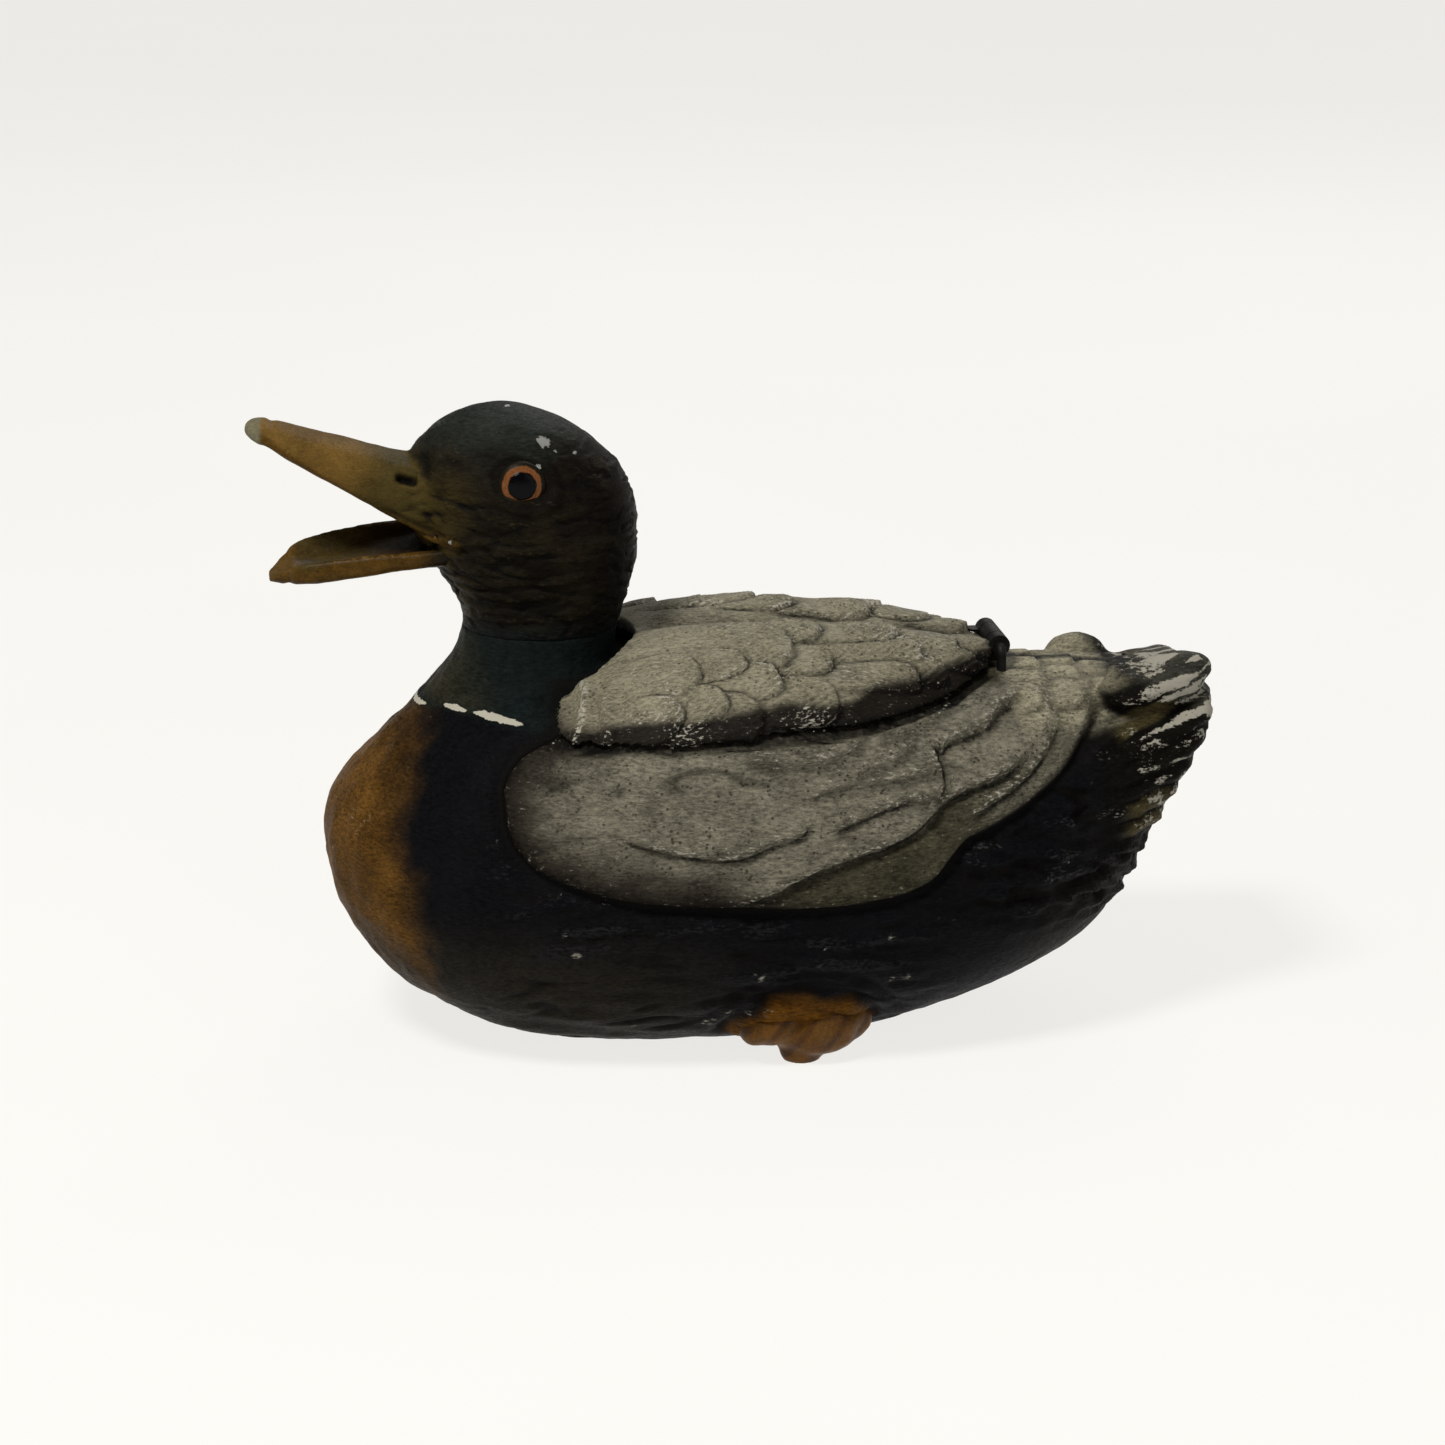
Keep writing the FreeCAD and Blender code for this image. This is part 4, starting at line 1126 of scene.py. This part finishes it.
def make_head():
    forms = [head_form(SEAM_Z, 200), bar(UPPER_BILL_LINE, UPPER_BILL, upper_bill_section)]
    head = reskin(make_mesh("head_and_upper_bill", forms), HEAD_GRAIN, 6)
    skin = Skin(head)
    skin.out, skin.above = line_place(skin.flat, UPPER_BILL_LINE)
    skin.on_bill = ramp(skin.out, 12.5, 15.5)
    # These relief steps also add painted shade to folds, eye corners, nostrils and engraved lines, and
    # painted highlight to fold edges.
    fold_relief(skin)
    line_relief(skin)
    mouth_relief(skin)
    skin.move()
    soft = 1.6 * skin.noise(7, 2.8) + 1.0 * skin.noise(2.6, 1.9)
    head_paint(skin, soft)
    bill_paint(skin, soft)
    # Painted highlight in streaks on the front of the crown and on raised folds, coloured by lighter copies
    # of the cheek, crown and bill paints.
    crown_highlight_streaks = skin.crown * ramp(skin.noise((5, 4, 1.5), 9.1), 0.0, 0.6) * ramp(-skin.x, 38, 46)
    wear_and_highlight = skin.bright + 0.4 * crown_highlight_streaks + 0.3 * skin.bill * hill(skin.low_edge - 0.3, 0.25)
    wear_and_highlight_colour = mix(mix(PAINTS["cheek"] * 2.4, PAINTS["crown"] * 3.0, skin.crown), PAINTS["bill"] * 1.15, skin.bill)
    chips = spots(skin.points, HEAD_CHIPS, 0.4, 1.6)
    skin.keep(wear_and_highlight_colour, wear_and_highlight, skin.dark, skin.bill * 0.12, chips, 0.75 * skin.bill)
    return head


def make_lower_bill():
    bill = make_mesh("lower_bill_skin", [bar(LOWER_BILL_LINE, LOWER_BILL, lower_bill_section)])
    skin = Skin(reskin(bill, 0.32, 4))
    across, up = skin.across, skin.normals[:, 2]
    out = line_place(skin.flat, LOWER_BILL_LINE)[0]
    skin.relief += 0.1 * skin.noise(3.5, 3.3) + 0.05 * skin.noise(1.2, 5.1) - 0.35 * hill(out - 34.6, 0.8)
    skin.move(LOWER_BILL_ROLL)
    channel = ramp(up, -0.1, 0.3) * ramp(8.4 - across, 0, 1.4) * ramp(34 - out, 0, 3)
    skin.prime("bill_edge", 0.85)
    skin.coat("mouth", channel * ramp(26 - out, -4, 14))
    skin.coat("bill_base", 0.8 * channel * ramp(out, 12, 24), 0.85)
    skin.paint = skin.paint * (1 + 0.3 * rough(skin.even * np.array([0.5, 1, 1]), 2.4, 6.3, 2))[:, None]
    skin.coat("bill", 0.6 * ramp(out, 30, 36) * ramp(up, -0.3, 0.5), 0.8)
    skin.coat("cheek", ramp(8 - out, -4, 4))
    # Painted highlight along the upward-facing rims and tip, and painted shade deep in the channel near the
    # base.
    rim = ramp(across, 6.6, 8.4) * ramp(up, 0.3, 0.8)
    wear_and_highlight = 0.5 * rim * ramp(out, 6, 14) + 0.25 * ramp(out, 35.2, 36.6) * ramp(up, 0.1, 0.6)
    painted_shade = 0.5 * channel * ramp(14 - out, 0, 8)
    skin.keep(PAINTS["bill"] * 1.2, wear_and_highlight, painted_shade, 0.1 * wear_and_highlight, spots(skin.points, BILL_CHIPS, 0.4, 1.1), 0.6)
    return bill


# ---------------------------------------------------------------- the eyes
EYE_FOOT = 14.6
PAINTED_REACH = 4.35


def make_eye(side, name):
    """A painted dome: a black pupil, an orange ring and a dark rim, each with its own step."""
    low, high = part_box(name)
    x, _, z = (np.array(low) + np.array(high)) / 2 / MM
    radius = np.append(PAINTED_REACH * np.arange(1, 35) / 34, (PAINTED_REACH, 3.6))
    out = EYE_FOOT + 4.0 * np.sqrt(np.maximum(1 - (radius / 5.6) ** 2, 0))
    out += 0.22 * ramp(-radius, -2.75, -2.45) + 0.16 * hill(radius - 3.7, 0.35)
    out[-2:] = EYE_FOOT + 0.4, EYE_FOOT - 0.6
    rings = [np.stack([x + r * np.cos(ROUND), np.full_like(ROUND, side * y), z + r * np.sin(ROUND)], 1)
             for r, y in zip(radius, out)]
    eye = make_mesh(name + "_painted", [loft(rings)])
    if side > 0:
        eye.data.flip_normals()
    shown = np.append(radius[:-2], (4.6, 4.6))
    give(eye, "radius", np.concatenate([np.repeat(shown, len(ROUND)), shown[[0, -1]]]))
    return eye


def eye_paint():
    n = Nodes("eye_paint")
    wavy = n.add(n.read("radius"), n.range(n.noise(1.3, 2), 0.3, 0.7, -0.1, 0.1))
    fine = n.noise(0.3, 3)
    ring = n.mix(n.range(fine, 0.3, 0.7), (0.10, 0.034, 0.009), (0.17, 0.064, 0.02))
    colour = n.mix(n.range(wavy, 2.6, 2.85), (0.0008, 0.0009, 0.0014), ring)
    colour = n.mix(n.range(wavy, 3.6, 3.85), colour, (0.008, 0.006, 0.003))
    gloss = n.range(wavy, 2.4, 3.0, 0.14, 0.42)
    return n.done(colour, gloss, n.bump(fine, 0.04), None, 0.08)


# ---------------------------------------------------------------- the feet
# the heel, the web and two toes of the near foot: middle, radii, tilt and turn
FOOT_LUMPS = (
    ((12.2, 32.6, 7.0), (9.4, 7.6, 6.4), 6, -4), ((9.6, 33.4, 3.4), (4.6, 4.2, 5.2), -24, 0),
    ((3.0, 34.4, 8.0), (6.6, 5.8, 4.2), 14, 6), ((17.2, 30.6, 7.2), (6.0, 6.6, 5.0), 16, -12),
)


def make_foot(side, name):
    """A folded webbed foot, pressed to the body's underside."""
    forms = [ellipsoid(*lump) for lump in FOOT_LUMPS]
    foot = make_mesh(name + "_cast", [(verts * np.array([1, side, 1]), faces) for verts, faces in forms])
    if side < 0:
        foot.data.flip_normals()
    skin = Skin(reskin(foot, 0.42, 4))
    toes = np.sin((skin.x - 0.7 * skin.z) * 1.05 + 0.8 * skin.noise(6, 2.0))
    lumps = skin.noise(3.4, 4.0)
    skin.relief += 0.06 * toes + 0.4 * lumps + 0.08 * skin.noise(1.6, 6.0)
    skin.move()
    skin.prime("foot")
    # Painted shade in the grooves between the toes: a darker copy of the foot's paint, and more shade in the
    # deepest; painted highlight on the raised lumps.
    skin.coat("foot", ramp(-toes, 0.2, 1), np.array([0.72, 0.66, 0.7]))
    skin.coat("breast", 0.6 * ramp(lumps, 0.1, 0.6), 1.15)
    wear_and_highlight = 0.3 * ramp(lumps, 0.3, 0.8) + 0.3 * ramp(1.5 - skin.z, 0, 1.2)
    painted_shade = 0.3 * ramp(-toes - 0.5 * lumps, 0.7, 1.2)
    skin.keep(PAINTS["breast"] * 2.0, wear_and_highlight, painted_shade, 0.1 * wear_and_highlight, 0.0, 0.7)
    return foot


# ---------------------------------------------------------------- the wing lid
LID_GRAIN = 0.42
RIM_LIFT = 0.5
# tip x, tip distance from the crown measured over the surface, half width, length, direction in degrees
WING_TILES = (
    (50.5, 7.5, 4.6, 16, -8), (46.5, 15.0, 4.2, 20, -15), (43.0, 10.5, 5.0, 18, -8), (39, 23.0, 4.6, 20, -16),
    (34.8, 17.5, 5.0, 20, -10), (33.2, 28.0, 4.6, 20, -12), (31.0, 10.0, 6.2, 24, -5),
    (16.0, 11.5, 5.4, 18, -4), (16.4, 25.0, 5.8, 16, -6), (16.4, 39.5, 7.6, 22, -8),
    (9.3, 19.5, 11.0, 24, -6), (5.6, 33.5, 6.6, 16, -10), (1.2, 45.0, 7.4, 16, -8),
    (-0.6, 26.5, 6.6, 13, -6), (-5.6, 40.0, 6.4, 12, -12), (-9.6, 28.5, 8.8, 15, -8),
    (-14, 42.0, 7.0, 10, -14),
)
DARK_BAND = ((-40, 67.5), (-29.5, 67.6), (-22, 68.4), (-10.8, 69.4), (-1.2, 71.2), (6.6, 71.8), (14.3, 70.6),
             (22.5, 72.0), (28.8, 72.4), (37.7, 73.0), (44.8, 73.6), (51, 74.5))

def lid_relief(skin):
    """Feathers laid from rear to front over the outside, a valley along the crown and a rippled shoulder."""
    x, y, z = skin.points.T
    width, crown = lid_shape(np.clip(x, LID_SECTIONS[0][0], LID_SECTIONS[-1][0]))
    top_share = np.abs((z - LID_WIDE_Z) / (crown - LID_WIDE_Z)) ** LID_SQUARENESS
    fill = np.abs(y / width) ** LID_SQUARENESS + top_share
    facing = np.maximum(skin.normals[:, 2], np.abs(skin.normals[:, 1]))
    skin.outer = ramp(fill, 0.86, 0.96) * ramp(facing, 0.1, 0.35)
    skin.over = skin.across + np.maximum(crown - z, 0)
    shift = np.where(y > 0, 1.8, 0.0)
    flat = np.stack([x + shift, skin.over + 0.6 * shift], 1)
    top, skin.gap, skin.edge, barb, which, crease = feather_tiles(flat, WING_TILES, 1.3)
    skin.crease = np.where(skin.outer > 0.5, crease, FAR)
    skin.valley = hill(skin.across, 3.2) * ramp(x, -22, -12)
    ridge = hill(skin.across - 11, 8) * ramp(x, -26, -10) * ramp(46 - x, 0, 20)
    skin.ripples = np.sin(x * 1.25 + 0.12 * skin.over + 2.2 * skin.noise(7, 1.1)) * hill(x + 31, 5.5)
    skin.ripples *= ramp(skin.over, 18, 26)
    ragged = hill(x + 13.5, 5) * ramp(68.5 - z, 0, 2)
    skin.hairs = np.sin((barb + 0.5 * skin.noise(5, 2.6)) * 2 * math.pi / 1.35)
    skin.feathered = ramp(which, -0.5, 0.5)
    hair_depth = (0.08 + 0.2 * skin.feathered) * ramp(skin.noise(6, 7.3), -0.5, 0.2) * ramp(z, 66.5, 69.5)
    skin.relief += skin.outer * (top - 0.35 * skin.gap - 1.9 * skin.valley + 0.9 * ridge + 0.6 * skin.ripples)
    skin.relief += skin.outer * (0.3 * skin.noise((9, 9, 6), 2.0) + 0.16 * skin.noise(4, 4.4))
    skin.relief += skin.outer * ragged * (0.8 + 0.25 * skin.noise(2.0, 8.8))
    skin.relief += skin.outer * hair_depth * skin.hairs


def lid_paint(skin, soft):
    """Cream feathers, olive at the rear, with a brown band along the rim and brown inside."""
    x, z = skin.x, skin.z
    skin.low = ramp(np.interp(x, *zip(*DARK_BAND)) + 0.5 * soft - z, -0.9, 1.1)
    skin.prime("lid")
    skin.coat("flank", 0.5 * ramp(soft, 0.3, 2.0), 0.8)
    skin.coat("flank_low", 0.8 * ramp(x + 0.75 * skin.over, 56, 70) * ramp(skin.over, 9, 18), 0.8)
    skin.coat("brown", skin.low, 1.5)
    skin.coat("brown", 0.85 * ramp(-x + 0.6 * soft, 31, 39) * ramp(71.5 + 0.5 * soft - z, -1, 3), 2.2)
    skin.coat("brown", 1 - skin.outer, 1.4)


def lid_wear_shade_and_highlight(skin, soft):
    """Rubbed tips and barbs with painted highlight, and painted shade between feathers, in the valley, rim
    and inside.
    """
    x, outer, low = skin.x, skin.outer, skin.low
    streak = 0.5 + 0.5 * skin.hairs
    # Painted highlight on feather edges, and paler streaks of rubbed paint along the barbs.
    wear_and_highlight = 0.4 * skin.edge * (1 - 0.8 * low) * ramp(soft + 1.2 * streak, -0.6, 1.4) + 0.06
    wear_and_highlight += low * (0.36 * hill(x - 11, 6) + 0.34 * hill(x + 13, 5) + 0.05) * (0.45 + 0.6 * streak)
    wear_and_highlight += (1 - low) * 0.42 * ramp(streak, 0.3, 1.0) * skin.feathered * ramp(soft, -0.5, 1.2)
    # Painted highlight as glints on the ripples of the front shoulder.
    wear_and_highlight += 0.5 * hill(x + 33, 5) * ramp(skin.ripples, 0.2, 0.8)
    # Painted shade between the feathers, in the crown's valley, along the lower rim and over the inside.
    gaps = skin.gap * (0.2 + 0.3 * ramp(x, -8, 6)) + 0.5 * skin.valley * ramp(x, -22, 0)
    painted_shade = np.maximum(np.clip(gaps, 0, 1), 0.9 * ramp(67.4 + 0.06 * x - skin.z, 0.0, 2.2))
    return outer * wear_and_highlight, np.maximum(outer * painted_shade, 0.4 * (1 - outer))


def make_lid():
    lid = make_mesh("folded_wings", [lid_form()])
    cut(lid, body_form(SEAT_GAP + RIM_LIFT))
    cut(lid, lid_form(LID_SKIN, LID_RIM, 2, -2))
    cut(lid, column(NECK_NOTCH, 30, 110))
    skin = Skin(reskin(lid, LID_GRAIN, 6))
    lid_relief(skin)
    skin.move()
    soft = 1.5 * skin.noise(8, 3.2) + 0.8 * skin.noise(2.6, 6.1)
    lid_paint(skin, soft)
    skin.keep(PAINTS["white"] * 1.05, *lid_wear_shade_and_highlight(skin, soft), skin.outer * (1 - skin.low) * 0.8)
    return lid


# ---------------------------------------------------------------- the stage
def make_stage():
    """A wide pale floor with its own faint glow, so that it stays even to its far edge."""
    bpy.ops.mesh.primitive_grid_add(x_subdivisions=8, y_subdivisions=8, size=60, location=(0, 0, 0))
    floor = bpy.context.object
    floor.name = "floor"
    n = Nodes("floor_paper")
    colour = n.mix(n.range(n.noise(300, 2), 0.4, 0.6), (0.15, 0.148, 0.142), (0.16, 0.157, 0.152))
    n.done(colour, 0.9, None, None, 0.0)
    n.shader.inputs["Emission Color"].default_value = (1.0, 0.985, 0.95, 1)
    n.shader.inputs["Emission Strength"].default_value = 0.80
    floor.data.materials.append(n.material)
    world = bpy.data.worlds.new("studio")
    bpy.context.scene.world = world
    world.use_nodes = True
    background = world.node_tree.nodes["Background"]
    background.inputs["Color"].default_value = (1.0, 0.985, 0.95, 1)
    background.inputs["Strength"].default_value = 0.17


# name, place, height of the target, diameter, power and colour
LAMPS = (
    ("key", (-0.5, -0.55, 1.1), 0.05, 0.32, 15, (1, 0.985, 0.95)),
    ("fill", (0.7, -0.9, 0.55), 0.05, 0.9, 2.4, (0.97, 0.98, 1)),
    ("back", (0.35, 0.9, 0.8), 0.06, 0.8, 4, (1, 0.99, 0.97)),
)
CAMERA_AZIMUTH, CAMERA_ELEVATION, CAMERA_DISTANCE = math.radians(-8), math.radians(16), 0.78
CAMERA_TARGET = Vector((0, 0, 0.056))
CAMERA_LENS, CAMERA_SENSOR, CAMERA_SHIFT = 98.3, 36, (-0.0052, 0.00865)


def make_lamp(name, place, target_height, size, power, colour):
    data = bpy.data.lights.new(name, "AREA")
    data.shape = "DISK"
    data.size = size
    data.energy = power
    data.color = colour
    lamp = bpy.data.objects.new(name, data)
    bpy.context.scene.collection.objects.link(lamp)
    lamp.location = place
    way = Vector((0, 0, target_height)) - Vector(place)
    lamp.rotation_euler = way.to_track_quat("-Z", "Y").to_euler()


def make_camera():
    reach = math.cos(CAMERA_ELEVATION)
    back = Vector((math.sin(CAMERA_AZIMUTH) * reach, -math.cos(CAMERA_AZIMUTH) * reach,
                   math.sin(CAMERA_ELEVATION)))
    data = bpy.data.cameras.new("camera")
    data.lens = CAMERA_LENS
    data.sensor_width = CAMERA_SENSOR
    data.shift_x, data.shift_y = CAMERA_SHIFT
    camera = bpy.data.objects.new("camera", data)
    bpy.context.scene.collection.objects.link(camera)
    camera.location = CAMERA_TARGET + back * CAMERA_DISTANCE
    camera.rotation_euler = (-back).to_track_quat("-Z", "Y").to_euler()
    bpy.context.scene.camera = camera


def paint_node(name, slot, material):
    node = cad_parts[name]
    node.data.materials.clear()
    node.data.materials.append(material)
    node["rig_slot"] = slot


# each slot's roughness, sheen and squeeze of the brush strokes, and whatever else is its own
COATS = {
    "body_paint": dict(gloss=0.42, specular=0.022, grain=(1, 1, 3), grain_turn=(0, 0.2, 0), ring=True),
    "head_paint": dict(gloss=0.40, specular=0.028, grain=(1, 1, 3.5)),
    "bill_paint": dict(gloss=0.38, specular=0.06, grain=(1, 1.5, 1.5), relief=0.07),
    "wing_paint": dict(gloss=0.42, specular=0.06, grain=(1, 3, 3)),
    "foot_paint": dict(gloss=0.42, specular=0.13, grain=(1.5, 1.5, 1), relief=0.08),
}
# each slot's nodes, its dark and light colours and roughness, and whatever else is its own
METALS = {
    "hinge_metal": (("hinge_lug", "left_lid_knuckle", "right_lid_knuckle"),
                    dict(dark=(0.004, 0.0035, 0.003), light=(0.012, 0.011, 0.009), gloss=0.5,
                         shine=(0.4, 0.2), specular=0.08)),
    "pin_metal": (("hinge_pin",), dict(dark=(0.006, 0.0055, 0.005), light=(0.02, 0.018, 0.016), gloss=0.45,
                                       shine=(0.5, 0.3), specular=0.12)),
    "plate_brass": (("well_plate",), dict(dark=(0.30, 0.19, 0.06), light=(0.42, 0.28, 0.10), gloss=0.3,
                                          relief=0.05, tarnish=(0.09, 0.055, 0.02), size=2.5)),
    "base_metal": (("base_plate",), dict(dark=(0.05, 0.05, 0.048), light=(0.11, 0.11, 0.105), gloss=0.5)),
    "screw_metal": (("base_screws",), dict(dark=(0.09, 0.085, 0.075), light=(0.2, 0.19, 0.17), gloss=0.35,
                                           relief=0.04, tarnish=(0.03, 0.02, 0.012), size=0.5)),
}


def main():
    bpy.context.scene.view_settings.view_transform = "Standard"
    make_camera()
    make_stage()
    for row in LAMPS:
        make_lamp(*row)
    coats = {slot: cold_paint(slot, **look) for slot, look in COATS.items()}
    finish_piece(make_body(), "duck", "body_paint", coats["body_paint"], "body_casting")
    finish_piece(make_head(), "duck", "head_paint", coats["head_paint"], "head_casting")
    finish_piece(make_lower_bill(), "duck", "bill_paint", coats["bill_paint"], "lower_bill")
    finish_piece(make_lid(), "lid", "wing_paint", coats["wing_paint"], "wing_lid")
    eyes = eye_paint()
    for side, word in ((-1, "left"), (1, "right")):
        eye, foot = word + "_eye", word + "_foot"
        finish_piece(make_eye(side, eye), "duck", "eye_paint", eyes, eye)
        finish_piece(make_foot(side, foot), "duck", "foot_paint", coats["foot_paint"], foot)
    for slot, (names, look) in METALS.items():
        metal = plain_metal(slot, **look)
        for name in names:
            paint_node(name, slot, metal)
    paint_node("ink_pot", "pot_glass", pot_glass())


main()
bpy.context.view_layer.update()
